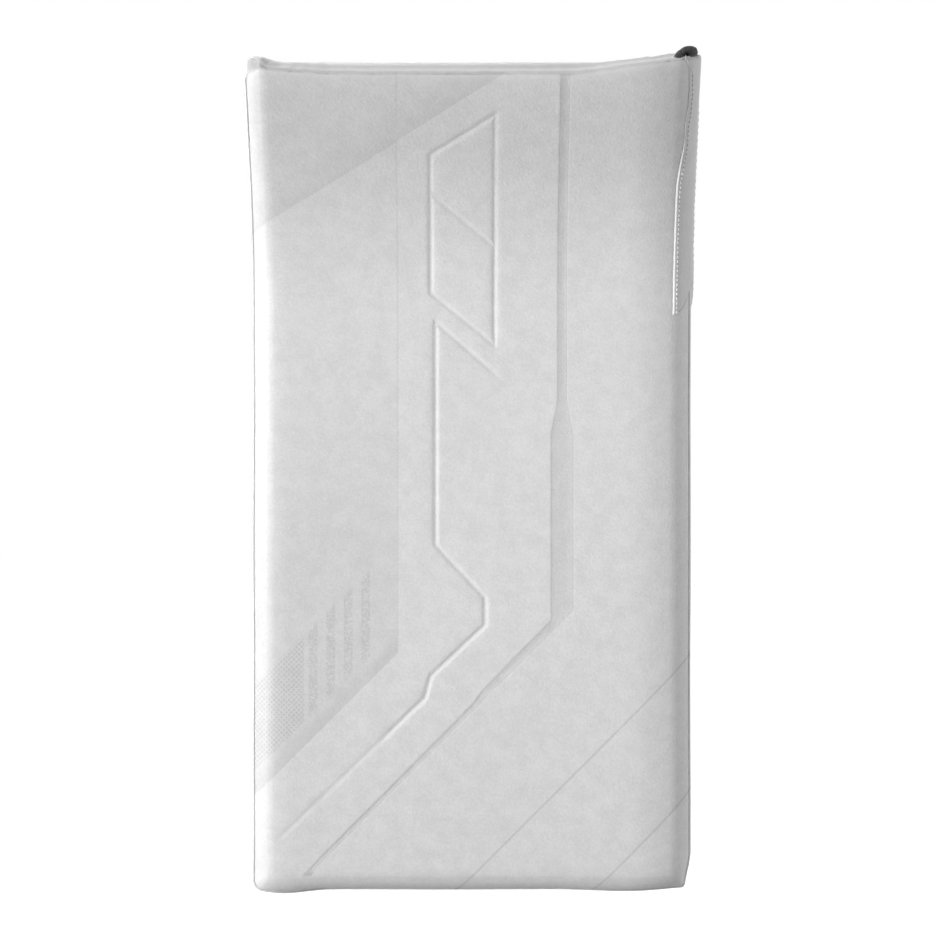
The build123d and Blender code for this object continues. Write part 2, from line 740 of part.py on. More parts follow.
def make_strap_anchors():
    """Patch that holds each strap's root."""
    patches = []
    for middle_z, width in straps():
        x = -strap_half_width(middle_z) - SEAT - ANCHOR_THICKNESS
        patches.append(side_patch(x, ANCHOR_THICKNESS, ANCHOR_DEPTH, middle_z, width))
    return Compound(children=patches)


def make_loop_patches():
    """Loop patch that each strap closes on."""
    patches = []
    for middle_z, width in straps():
        x = strap_half_width(middle_z) + SEAT
        depth = STRAP_END_DEPTH + SEAT
        patch = side_patch(x, LOOP_PATCH_THICKNESS, depth, middle_z, width)
        patches.append(Pos(0, -2 * STRAP_THICKNESS, 0) * patch)
    return Compound(children=patches)


def make_pieces():
    """Every piece by name."""
    foam_front = COVER_WALL + GLUE_LINE
    stiffener_front = foam_front + IMPACT_FOAM_THICKNESS + GLUE_LINE
    liner_front = stiffener_front + STIFFENER_THICKNESS + GLUE_LINE
    panel_front = liner_front + LINER_FOAM_THICKNESS + GLUE_LINE
    pieces = {
        "face_cover": make_face_cover(),
        "impact_foam": make_impact_foam(foam_front),
        "stiffener_sheet": filling_layer(stiffener_front, STIFFENER_THICKNESS),
        "liner_foam": filling_layer(liner_front, LINER_FOAM_THICKNESS),
        "back_panel": make_back_panel(panel_front),
        "rear_binding": make_rear_binding(),
        "top_gusset": make_top_gusset(),
        "lace_eyelets": make_lace_eyelets(),
        "corner_lace": make_corner_lace(),
        "flap_strip": make_flap_strip(),
        "flap_cover": make_flap_cover(),
        "flap_foam": make_flap_foam(),
        "flap_liner": make_flap_liner(),
        "riser_pad": make_riser_pad(),
        "hand_back": make_hand_back(),
        "palm": make_palm(),
        "palm_grip_patch": make_palm_grip_patch(),
        "thumb_stall": make_thumb_stall(),
        "thumb_guard": make_thumb_guard(),
        "cuff_pad": make_cuff_pad(),
        "cuff_liner": make_cuff_liner(),
        "strap_anchors": make_strap_anchors(),
        "loop_patches": make_loop_patches(),
        "wrist_strap": make_strap(WRIST_STRAP_Z, WRIST_STRAP_WIDTH),
        "cuff_strap": make_strap(CUFF_STRAP_Z, CUFF_STRAP_WIDTH),
    }
    for name, (middle_x, width) in stall_places().items():
        length = FINGER_LENGTHS[name]
        stall = make_stall(middle_x, width, length, KNUCKLE_Z + SEAT)
        pieces[f"finger_{name}"] = stall
    return pieces


os.makedirs("parts", exist_ok=True)
for piece_name, piece in make_pieces().items():
    export_step(piece, f"parts/{piece_name}.step")
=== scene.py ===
"""Looks of a goalkeeper's blocker: leather, foam, lace, stitches and studio on the CAD frame."""

import math

import bpy
from mathutils import Matrix, Vector, noise


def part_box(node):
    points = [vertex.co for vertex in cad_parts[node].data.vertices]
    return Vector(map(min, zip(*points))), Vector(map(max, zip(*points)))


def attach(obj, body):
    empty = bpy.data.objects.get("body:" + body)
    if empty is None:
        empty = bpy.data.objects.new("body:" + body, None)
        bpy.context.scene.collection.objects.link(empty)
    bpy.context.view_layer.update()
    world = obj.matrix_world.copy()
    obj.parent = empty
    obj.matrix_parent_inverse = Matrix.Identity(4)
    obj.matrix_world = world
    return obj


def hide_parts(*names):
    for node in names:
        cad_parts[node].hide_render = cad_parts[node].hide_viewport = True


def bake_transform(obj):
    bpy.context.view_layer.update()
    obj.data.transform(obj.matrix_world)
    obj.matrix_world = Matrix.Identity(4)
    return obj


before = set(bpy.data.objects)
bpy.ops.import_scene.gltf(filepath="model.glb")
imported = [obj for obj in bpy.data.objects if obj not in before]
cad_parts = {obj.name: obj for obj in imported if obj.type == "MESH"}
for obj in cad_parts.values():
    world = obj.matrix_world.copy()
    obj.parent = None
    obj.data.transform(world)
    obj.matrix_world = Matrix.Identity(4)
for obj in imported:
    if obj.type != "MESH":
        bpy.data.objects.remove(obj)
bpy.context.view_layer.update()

# Camera
# Square on to the blocking face, level with the hand, far enough off that the tip that bends
# forward looks only slightly wider than the rest.

BOARD_MIDDLE_X = (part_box("face_cover")[0][0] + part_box("face_cover")[1][0]) / 2
FACE_Y = -0.066
CAMERA_DISTANCE = 0.80
VIEW_HEIGHT = 0.428  # how much of the face's plane the frame spans
CAMERA_SIDE = -0.0011
CAMERA_Z = 0.0032

camera_data = bpy.data.cameras.new("camera")
camera_data.sensor_width = 36
camera_data.lens = 36 * CAMERA_DISTANCE / VIEW_HEIGHT
camera = bpy.data.objects.new("camera", camera_data)
camera.location = (BOARD_MIDDLE_X + CAMERA_SIDE, FACE_Y - CAMERA_DISTANCE, CAMERA_Z)
camera.rotation_euler = (math.radians(90), 0, 0)
bpy.context.scene.collection.objects.link(camera)
bpy.context.scene.camera = camera


# Face cover
# One moulded skin of white leather-like polyurethane over foam, wrapped round both sides and the
# bottom. It is pressed flat with its channels in it and bent forward at the finger end.

BOARD_WIDTH = 0.2032
BOARD_THICKNESS = 0.028
HEEL_Z = -0.1905
BOARD_LENGTH = 0.3736
BEND_START = 0.078
BEND_RUN = 0.070
BEND_ANGLE = math.radians(25)
BEND_RADIUS = BEND_RUN / BEND_ANGLE
EDGE_RADIUS = 0.0105
CORNER_RADIUS = 0.0108
CORNER_TIGHT = 0.0045
HEEL_TIGHT = {-1: CORNER_TIGHT, 1: 0.0020}
END_ROLL = 0.0018
END_RIM = 0.0025
SKIN = 0.003
GRID = 0.004
CHANNEL_HALF = 0.0019
CHANNEL_DEPTH = 0.00045
RAIL_DEPTH = 0.00012
RAIL_LIP = 0.0006
SIDE_SEAM_DEPTH = 0.0055
SEAM_HALF = 0.0009
SEAM_SINK = 0.0012

LEFT_X = BOARD_MIDDLE_X - BOARD_WIDTH / 2
RIGHT_X = BOARD_MIDDLE_X + BOARD_WIDTH / 2
TOP_RUN = HEEL_Z + BOARD_LENGTH


def deselect():
    bpy.ops.object.select_all(action="DESELECT")


def start_cube(name, low, high):
    """A new cube between two corners, the only thing selected."""
    deselect()
    middle = [(a + b) / 2 for a, b in zip(low, high)]
    size = [b - a for a, b in zip(low, high)]
    bpy.ops.mesh.primitive_cube_add(size=1, location=middle)
    piece = bpy.context.object
    piece.name = name
    piece.scale = size
    bpy.ops.object.transform_apply(location=True, rotation=True, scale=True)
    return piece


def select_only(piece):
    deselect()
    piece.select_set(True)
    bpy.context.view_layer.objects.active = piece


def leave():
    bpy.ops.object.mode_set(mode="OBJECT")


def edit(piece, mode):
    """Readies a piece for picking in a select mode, with nothing selected."""
    select_only(piece)
    bpy.ops.object.mode_set(mode="EDIT")
    bpy.ops.mesh.select_mode(type=mode)
    bpy.ops.mesh.select_all(action="DESELECT")
    leave()


def pick(items, test):
    """Selects the faces or edges that pass a test, and opens edit mode."""
    for item in items:
        item.select = test(item)
    bpy.ops.object.mode_set(mode="EDIT")


def open_all(piece, mode="FACE"):
    """Opens a piece for editing with all of it selected."""
    edit(piece, mode)
    bpy.ops.object.mode_set(mode="EDIT")
    bpy.ops.mesh.select_all(action="SELECT")


def edge_middle(piece, edge):
    a, b = (piece.data.vertices[v].co for v in edge.vertices)
    return (a + b) / 2


def edge_along(piece, edge, axis):
    a, b = (piece.data.vertices[v].co for v in edge.vertices)
    step = b - a
    return abs(step[axis]) > 0.99 * step.length


def bevel_edges(piece, test, radius, segments):
    edit(piece, "EDGE")
    pick(piece.data.edges, test)
    bpy.ops.mesh.bevel(offset=radius, segments=segments, profile=0.5, affect="EDGES")
    leave()


def delete_faces(piece, test):
    edit(piece, "FACE")
    pick(piece.data.polygons, test)
    bpy.ops.mesh.delete(type="FACE")
    leave()


def slice_grid(piece, axis, step):
    """Cuts a piece into even slices across one axis."""
    values = [vertex.co[axis] for vertex in piece.data.vertices]
    low, high = min(values), max(values)
    count = max(1, round((high - low) / step))
    normal = [0, 0, 0]
    normal[axis] = 1
    edit(piece, "FACE")
    bpy.ops.object.mode_set(mode="EDIT")
    for number in range(1, count):
        point = [0, 0, 0]
        point[axis] = low + (high - low) * number / count
        bpy.ops.mesh.select_all(action="SELECT")
        bpy.ops.mesh.bisect(plane_co=point, plane_no=normal)
    leave()


def apply_all(piece):
    select_only(piece)
    for modifier in list(piece.modifiers):
        bpy.ops.object.modifier_apply(modifier=modifier.name)


def thicken(piece, thickness, offset=1):
    """Gives a skin its thickness, outward for 1 and inward for -1."""
    wall = piece.modifiers.new("wall", "SOLIDIFY")
    wall.thickness = thickness
    wall.offset = offset
    apply_all(piece)


def smooth(piece, degrees=50):
    select_only(piece)
    bpy.ops.object.shade_smooth_by_angle(angle=math.radians(degrees))


def double(piece, name):
    """A copy of a piece, with a mesh of its own."""
    copy = piece.copy()
    copy.data = piece.data.copy()
    bpy.context.scene.collection.objects.link(copy)
    copy.name = name
    return copy


def bend_point(point):
    """Where a point of the flat board goes when its finger end is bent forward."""
    x, y, z = point
    if z <= BEND_START:
        return Vector(point)
    turn = min((z - BEND_START) / BEND_RADIUS, BEND_ANGLE)
    beyond = max(z - BEND_START - BEND_RUN, 0)
    radius = BEND_RADIUS + y - FACE_Y
    out_y = FACE_Y - BEND_RADIUS + radius * math.cos(turn) - beyond * math.sin(turn)
    out_z = BEND_START + radius * math.sin(turn) + beyond * math.cos(turn)
    return Vector((x, out_y, out_z))


def bend_board(piece):
    for vertex in piece.data.vertices:
        vertex.co = bend_point(vertex.co)


def flat_run(z):
    """Height on the flat board of a point seen at height z once the board is bent."""
    bent_z = BEND_START + BEND_RADIUS * math.sin(BEND_ANGLE)
    if z <= BEND_START:
        return z
    if z < bent_z:
        return BEND_START + BEND_RADIUS * math.asin((z - BEND_START) / BEND_RADIUS)
    return BEND_START + BEND_RUN + (z - bent_z) / math.cos(BEND_ANGLE)


CELL_CORNERS = [(-0.0187, 0.1440), (0.0103, 0.1603), (0.0103, 0.1043), (-0.0187, 0.1276)]
LOWER_CELL_CORNERS = [(-0.0187, 0.1276), (-0.0187, 0.0835), (0.0103, 0.0600), (0.0103, 0.1043)]
SPINE_CORNERS = [
    (0.0103, 0.0471),
    (-0.0166, 0.0704),
    (-0.0166, -0.0312),
    (0.0060, -0.0554),
    (0.0060, -0.0677),
    (-0.0187, -0.0909),
    (-0.0214, -0.1009),
    (-0.0884, -0.1656),
]
RAIL_CORNERS = [
    (0.0388, TOP_RUN),
    (0.0434, TOP_RUN),
    (0.0434, 0.0344),
    (0.0464, 0.0194),
    (0.0464, -0.0611),
    (-0.0830, HEEL_Z),
    (-0.0863, HEEL_Z),
    (0.0009, -0.1028),
    (0.0035, -0.0985),
    (0.0358, -0.0654),
    (0.0358, 0.0194),
    (0.0388, 0.0344),
]
TAIL_Z = -0.105
TAIL_DEPTH = [(-0.0884, 0.40), (-0.0405, 0.45), (-0.0380, 1.0)]
TIP_CHANNELS = 0.6  # depth of the channels beyond the bend, as a share of the rest


def board_points(points):
    """Points on the flat board from X off its centre line and height on the bent board."""
    return [Vector((BOARD_MIDDLE_X + x, flat_run(z))) for x, z in points]


def channel_lines():
    """The centre lines of the channels pressed round the cells and down the spine."""
    cell = board_points(CELL_CORNERS)
    return [cell + cell[:1], board_points(LOWER_CELL_CORNERS), board_points(SPINE_CORNERS)]


def line_distance(point, start, end):
    """Distance of a flat point from a straight stretch."""
    along = end - start
    share = max(0, min(1, (point - start).dot(along) / along.length_squared))
    return (point - start - along * share).length


def stretches(line, closed=False):
    ends = line[1:] + (line[:1] if closed else [])
    return list(zip(line, ends))


def on_flat_face(face):
    return face.normal.y < -0.999 and abs(face.center.y - FACE_Y) < 1e-6


def cut_beside(piece, start, end, offsets):
    """Cuts the flat face along lines beside a stretch, only where the stretch passes."""
    reach = max(abs(offset) for offset in offsets) + GRID
    along = (end - start).normalized()
    across = Vector((along.y, -along.x))
    for offset in offsets:
        edit(piece, "FACE")
        pick(
            piece.data.polygons,
            lambda face: on_flat_face(face)
            and line_distance(Vector((face.center.x, face.center.z)), start, end) < reach,
        )
        point = start + across * offset
        bpy.ops.mesh.bisect(
            plane_co=(point.x, FACE_Y, point.y), plane_no=(across.x, 0, across.y)
        )
        leave()


def inside(point, outline):
    """Whether a flat point lies inside an outline."""
    crossed = False
    for a, b in stretches(outline, True):
        if (a.y > point.y) != (b.y > point.y):
            if point.x < a.x + (b.x - a.x) * (point.y - a.y) / (b.y - a.y):
                crossed = not crossed
    return crossed


def rise(value, start, end):
    """0 before start, 1 after end, and a smooth rise between them."""
    share = max(0, min(1, (value - start) / (end - start)))
    return share * share * (3 - 2 * share)


def through(points, value):
    """Height, at a value, of a line that runs through points."""
    for (start, low), (end, high) in zip(points, points[1:]):
        if value <= end:
            return low + (high - low) * max(0, value - start) / (end - start)
    return points[-1][1]


def press_face(piece, channels, rail):
    """Sinks the channels and the rail into the flat face."""
    channel_parts = [part for line in channels for part in stretches(line)]
    rail_parts = stretches(rail, True)
    pressed = piece.data.attributes.new("pressed", "FLOAT", "POINT")
    for vertex in piece.data.vertices:
        if abs(vertex.co.y - FACE_Y) > 1e-6:
            continue
        point = Vector((vertex.co.x, vertex.co.z))
        near = min(line_distance(point, a, b) for a, b in channel_parts)
        if near < CHANNEL_HALF:
            deep = CHANNEL_DEPTH
            if point.y < TAIL_Z:
                deep *= through(TAIL_DEPTH, point.x - BOARD_MIDDLE_X)
            tip = rise(point.y, BEND_START + 0.01, BEND_START + BEND_RUN)
            deep *= 1 - (1 - TIP_CHANNELS) * tip
            vertex.co.y += deep * (0.5 + 0.5 * math.cos(math.pi * near / CHANNEL_HALF))
        if inside(point, rail):
            lip = min(line_distance(point, a, b) for a, b in rail_parts)
            vertex.co.y += RAIL_DEPTH * min(1, lip / RAIL_LIP)
            pressed.data[vertex.index].value = min(1, lip / RAIL_LIP)


END_SEAM_LIFT = [
    (-0.1018, -0.0043),
    (-0.0974, 0.0006),
    (-0.0934, 0.0021),
    (-0.0799, 0.0012),
    (-0.0623, 0.0001),
    (-0.0450, 0.0),
    (0.0450, 0.0),
    (0.0539, 0.0009),
    (0.0649, 0.0026),
    (0.0750, 0.0040),
    (0.0860, 0.0053),
    (0.0934, 0.0059),
    (0.1016, 0.0058),
]
END_REAR_LIFT = [
    (-0.1016, -0.0034),
    (-0.0974, -0.0021),
    (-0.0935, -0.0015),
    (-0.0830, -0.0020),
    (-0.0600, -0.0024),
    (0.0560, -0.0024),
    (0.0702, -0.0012),
    (0.0794, -0.0002),
    (0.0890, 0.0011),
    (0.1016, 0.0016),
]
END_RAGGED = 0.0003
HEEL_SAG = 0.0017
HEEL_CUT = 0.0026
HEEL_CUT_RUN = 0.017
TIP_NARROW = 0.85  # share of the left side's fall that is lost at the finger end
LEFT_FALL, LEFT_FALL_START = 0.0040, -0.0855  # the face falls away towards its sides
RIGHT_FALL, RIGHT_FALL_START = 0.0057, 0.0720
END_FALL, END_FALL_RUN = 0.0010, 0.014
END_LIFT_RUN = 0.028
HEEL_SAG_RUN = 0.022
LEFT_SAG, LEFT_SAG_REACH = -0.087, 0.022  # where the heel sags, off the centre line
RIGHT_SAG, RIGHT_SAG_REACH = 0.070, 0.030
WAVE_HEIGHT = 0.00028
WAVE_PER_METRE = 17
END_PAINTED_SHADE = 0.4  # how dark the painted shade in the fold at the cover's end is, where its side seam's is 1
COVERED_PAINTED_SHADE, COVERED_START = 0.3, 0.09  # and the painted shade in its side seam where the flap strip laps over it


def end_lift(off, depth):
    """How far the sewn end is drawn up, off the board's centre line and behind its face."""
    front = through(END_SEAM_LIFT, off)
    front += END_RAGGED * noise.noise(Vector((off * 420, 0, 7)))
    rear = through(END_REAR_LIFT, off)
    return front + (rear - front) * min(1.2, max(0, depth / BOARD_THICKNESS))


def drawn_up(off, depth, z):
    """The same, fading out down the board from its end."""
    return end_lift(off, depth) * rise(z, TOP_RUN - END_LIFT_RUN, TOP_RUN)


def side_fall(off, depth):
    """How far the face falls back towards the board's sides; the rear edge stays."""
    half = BOARD_WIDTH / 2
    share = 1 - min(1, max(0, depth / BOARD_THICKNESS))
    if off > RIGHT_FALL_START:
        return share * RIGHT_FALL * ((off - RIGHT_FALL_START) / (half - RIGHT_FALL_START)) ** 2
    if off < LEFT_FALL_START:
        return share * LEFT_FALL * ((off - LEFT_FALL_START) / (half + LEFT_FALL_START)) ** 2
    return 0.0


def soften_cover(piece):
    """The small unevenness of a sewn cover: a drawn-up end, soft heel corners and slow waves."""
    seam_y = FACE_Y + SIDE_SEAM_DEPTH
    seam = piece.data.attributes.new("seam", "FLOAT", "POINT")
    places = [(vertex.co.copy(), vertex.normal.copy()) for vertex in piece.data.vertices]
    for vertex, (place, normal) in zip(piece.data.vertices, places):
        x, y, z = place
        off = x - BOARD_MIDDLE_X
        depth = y - FACE_Y
        vertex.co.z += drawn_up(off, depth, z)
        heel = 1 - rise(z, HEEL_Z, HEEL_Z + HEEL_SAG_RUN)
        left_heel = 1 - rise(abs(off - LEFT_SAG), 0.0, LEFT_SAG_REACH)
        right_heel = 1 - rise(abs(off - RIGHT_SAG), 0.0, RIGHT_SAG_REACH)
        vertex.co.z -= HEEL_SAG * heel * (left_heel + 0.5 * right_heel)
        cut = 1 - rise(z, HEEL_Z, HEEL_Z + HEEL_CUT_RUN)
        vertex.co.x -= HEEL_CUT * cut * rise(off, 0.080, 0.1016)
        at_tip = rise(z, BEND_START, BEND_START + BEND_RUN) if off < 0 else 0
        vertex.co.y += side_fall(off, depth) * (1 - TIP_NARROW * at_tip)
        curl = max(0, z - TOP_RUN + END_FALL_RUN) / END_FALL_RUN
        vertex.co.y += END_FALL * curl**2 * (1 - rise(depth, 0, EDGE_RADIUS))
        # The side seam's groove and the fold at the end get painted shade through the seam
        # attribute, for the shade that falls in them.
        if abs(y - seam_y) < 1e-6:
            vertex.co -= normal * SEAM_SINK
            seam.data[vertex.index].value = 1 if off < COVERED_START else COVERED_PAINTED_SHADE
        if z > TOP_RUN - END_ROLL * 0.7 and depth < END_ROLL * 3:
            seam.data[vertex.index].value = END_PAINTED_SHADE
        wave = noise.noise(place * WAVE_PER_METRE)
        vertex.co += normal * WAVE_HEIGHT * wave


def cut_level(piece, axis, value):
    """Cuts right round a piece at one place along an axis."""
    point = [0, 0, 0]
    normal = [0, 0, 0]
    point[axis] = value
    normal[axis] = 1
    open_all(piece)
    bpy.ops.mesh.bisect(plane_co=point, plane_no=normal)
    leave()


def tighten_corner(piece, side):
    """Draws a rounded heel corner out to the smaller radius it has on the face."""
    centre_x = BOARD_MIDDLE_X + side * (BOARD_WIDTH / 2 - CORNER_RADIUS)
    centre_z = HEEL_Z + CORNER_RADIUS
    tight = HEEL_TIGHT[side]
    reach = CORNER_RADIUS - tight
    for vertex in piece.data.vertices:
        x = (vertex.co.x - centre_x) * side
        z = centre_z - vertex.co.z
        if x <= 1e-6 or z <= 1e-6:
            continue
        turn = math.atan2(z, x)
        edge = CORNER_RADIUS / max(math.cos(turn), math.sin(turn))
        if edge * min(math.cos(turn), math.sin(turn)) > reach:
            aside = reach * (math.cos(turn) - math.sin(turn))
            edge = reach * (math.cos(turn) + math.sin(turn))
            edge += math.sqrt(max(0, tight**2 - aside**2))
        vertex.co.x = centre_x + side * x * edge / CORNER_RADIUS
        vertex.co.z = centre_z - z * edge / CORNER_RADIUS


cover = start_cube(
    "cover_leather", (LEFT_X, FACE_Y, HEEL_Z), (RIGHT_X, FACE_Y + BOARD_THICKNESS, TOP_RUN)
)
bevel_edges(
    cover, lambda e: edge_along(cover, e, 1) and edge_middle(cover, e).z < 0, CORNER_RADIUS, 8
)
bevel_edges(
    cover,
    lambda e: edge_middle(cover, e).y < FACE_Y + 1e-5
    and edge_middle(cover, e).z < TOP_RUN - 1e-5,
    EDGE_RADIUS,
    7,
)
bevel_edges(
    cover,
    lambda e: edge_middle(cover, e).y < FACE_Y + BOARD_THICKNESS - 1e-5
    and edge_middle(cover, e).z > TOP_RUN - 1e-5,
    END_ROLL,
    3,
)
edit(cover, "FACE")
pick(cover.data.polygons, lambda f: f.normal.z > 0.999 and f.area > 1e-3)
bpy.ops.mesh.inset(thickness=END_RIM)
bpy.ops.mesh.delete(type="FACE")
leave()
delete_faces(cover, lambda f: f.normal.y > 0.99)
slice_grid(cover, 0, GRID)
slice_grid(cover, 2, GRID)
slice_grid(cover, 1, BOARD_THICKNESS / 6)
for shift in (-SEAM_HALF, 0, SEAM_HALF):
    cut_level(cover, 1, FACE_Y + SIDE_SEAM_DEPTH + shift)
tighten_corner(cover, -1)
tighten_corner(cover, 1)
flap_strip = double(cover, "flap_strip_leather")
channel_set = channel_lines()
rail = board_points(RAIL_CORNERS)
for line in channel_set:
    for start, end in stretches(line):
        offsets = [CHANNEL_HALF * share / 3 for share in range(-3, 4)]
        cut_beside(cover, start, end, offsets)
for start, end in stretches(rail, True):
    if min(start.y, end.y) > HEEL_Z + 0.001 or start.y != end.y:
        cut_beside(cover, start, end, [0, -RAIL_LIP, RAIL_LIP])
press_face(cover, channel_set, rail)
soften_cover(cover)
bend_board(cover)
thicken(cover, SKIN, -1)
smooth(cover)


class Finish:
    """A surface finish while it is being mixed."""

    def __init__(self, name):
        self.material = bpy.data.materials.new(name)
        self.material.use_nodes = True
        self.tree = self.material.node_tree
        self.tree.nodes.clear()
        output = self.tree.nodes.new("ShaderNodeOutputMaterial")
        self.shader = self.tree.nodes.new("ShaderNodeBsdfPrincipled")
        self.link(self.shader.outputs[0], output.inputs["Surface"])
        self.place = self.tree.nodes.new("ShaderNodeTexCoord").outputs["Object"]
        split = self.add("ShaderNodeSeparateXYZ")
        self.link(self.place, split.inputs[0])
        self.x, self.y, self.z = split.outputs

    def link(self, source, target):
        self.tree.links.new(source, target)

    def add(self, kind, **values):
        node = self.tree.nodes.new(kind)
        for name, value in values.items():
            setattr(node, name, value)
        return node

    def feed(self, socket, value):
        if hasattr(value, "is_output"):
            self.link(value, socket)
        else:
            socket.default_value = value

    def math(self, operation, a, b=0.0, c=0.0):
        node = self.add("ShaderNodeMath", operation=operation)
        for socket, value in zip(node.inputs, (a, b, c)):
            self.feed(socket, value)
        return node.outputs[0]

    def noise(self, scale, detail=2.0, roughness=0.5):
        node = self.add("ShaderNodeTexNoise")
        node.inputs["Scale"].default_value = scale
        node.inputs["Detail"].default_value = detail
        node.inputs["Roughness"].default_value = roughness
        self.link(self.place, node.inputs["Vector"])
        return node.outputs["Fac"]

    def cells(self, scale, feature="F1"):
        node = self.add("ShaderNodeTexVoronoi", feature=feature)
        node.inputs["Scale"].default_value = scale
        self.link(self.place, node.inputs["Vector"])
        return node.outputs["Distance"]

    def threads(self, coordinate, pitch):
        """A wave from 0 to 1 along one coordinate, one crest for each thread."""
        turn = self.math("MULTIPLY", coordinate, 2 * math.pi / pitch)
        return self.math("MULTIPLY_ADD", self.math("SINE", turn), 0.5, 0.5)

    def fit(self, value, low, high, to_low=0.0, to_high=1.0):
        """Maps low..high onto to_low..to_high and holds the ends."""
        node = self.add("ShaderNodeMapRange")
        node.inputs["From Min"].default_value = low
        node.inputs["From Max"].default_value = high
        node.inputs["To Min"].default_value = to_low
        node.inputs["To Max"].default_value = to_high
        self.feed(node.inputs["Value"], value)
        return node.outputs["Result"]

    def mix(self, share, a, b):
        node = self.add("ShaderNodeMix", data_type="RGBA")
        self.feed(node.inputs["Factor"], share)
        self.feed(node.inputs[6], a)
        self.feed(node.inputs[7], b)
        return node.outputs[2]

    def shade(self, share, colour, tone):
        """Multiplies a colour by a tone, by a share that may pass 1."""
        node = self.add("ShaderNodeMix", data_type="RGBA", blend_type="MULTIPLY")
        node.clamp_factor = False
        self.feed(node.inputs["Factor"], share)
        self.feed(node.inputs[6], colour)
        self.feed(node.inputs[7], tone)
        return node.outputs[2]

    def bump(self, height, depth, under=None):
        node = self.add("ShaderNodeBump")
        node.inputs["Distance"].default_value = depth
        self.link(height, node.inputs["Height"])
        if under:
            self.link(under, node.inputs["Normal"])
        return node.outputs["Normal"]

    def done(self, colour, roughness, normal=None):
        self.feed(self.shader.inputs["Base Color"], colour)
        self.feed(self.shader.inputs["Roughness"], roughness)
        if normal:
            self.link(normal, self.shader.inputs["Normal"])
        return self.material


def grey(value, warm=0.0):
    return (value * (1 + warm), value, value * (1 - warm), 1)


# Tone of the painted shade in seams and gaps, where the seam attribute is 1.
SEAM_PAINTED_SHADE = 0.36


def pebbled(finish, light, dark):
    """Colour, roughness and normal of white pebbled leather, faintly mottled, with painted shade in
    its seams.
    """
    blotch = finish.noise(140, 5, 0.7)
    fleck = finish.noise(760, 4, 0.8)
    both = finish.math("MULTIPLY_ADD", fleck, 1.1, blotch)
    colour = finish.mix(finish.fit(both, 0.85, 1.25), grey(dark), grey(light))
    # Painted shade: darkens the leather in its seams and gaps by the seam attribute.
    painted_seam_shade = finish.add("ShaderNodeAttribute", attribute_name="seam").outputs["Fac"]
    colour = finish.shade(painted_seam_shade, colour, grey(SEAM_PAINTED_SHADE))
    rough = finish.fit(blotch, 0.3, 0.7, 0.5, 0.6)
    pebble = finish.cells(1150, "SMOOTH_F1")
    crease = finish.noise(900, 3, 0.6)
    height = finish.math("ADD", pebble, crease)
    return colour, rough, finish.bump(height, 0.0001)


def dress(piece, material):
    piece.data.materials.clear()
    piece.data.materials.append(material)


def white_leather(name, light, dark):
    finish = Finish(name)
    return finish.done(*pebbled(finish, light, dark))


COVER_LIGHT, COVER_DARK = 0.825, 0.735
PRINT_TONE = 0.72
PRINT_START = -0.1005
PANEL_EDGE = -0.0335
PANEL_FOOT = -0.0466  # the panel's slanted foot: its height less its place off the centre line
PANEL_SLOPE = 0.573
PANEL_HEAD = 0.1691
PANEL_FADE = 0.016
LINE_WIDTH = 0.0005
SLANT_LINES = (-0.1824, -0.2448)
DOT_PITCH = 0.0023
DOT_EDGE = -0.0765
BAR_PITCH = 0.0080
BAR_SHIFT = 0.0024
BAR_EDGE = -0.0450
RAIL_SHADE = 0.42
RAIL_EDGE_SHADE = 2.0


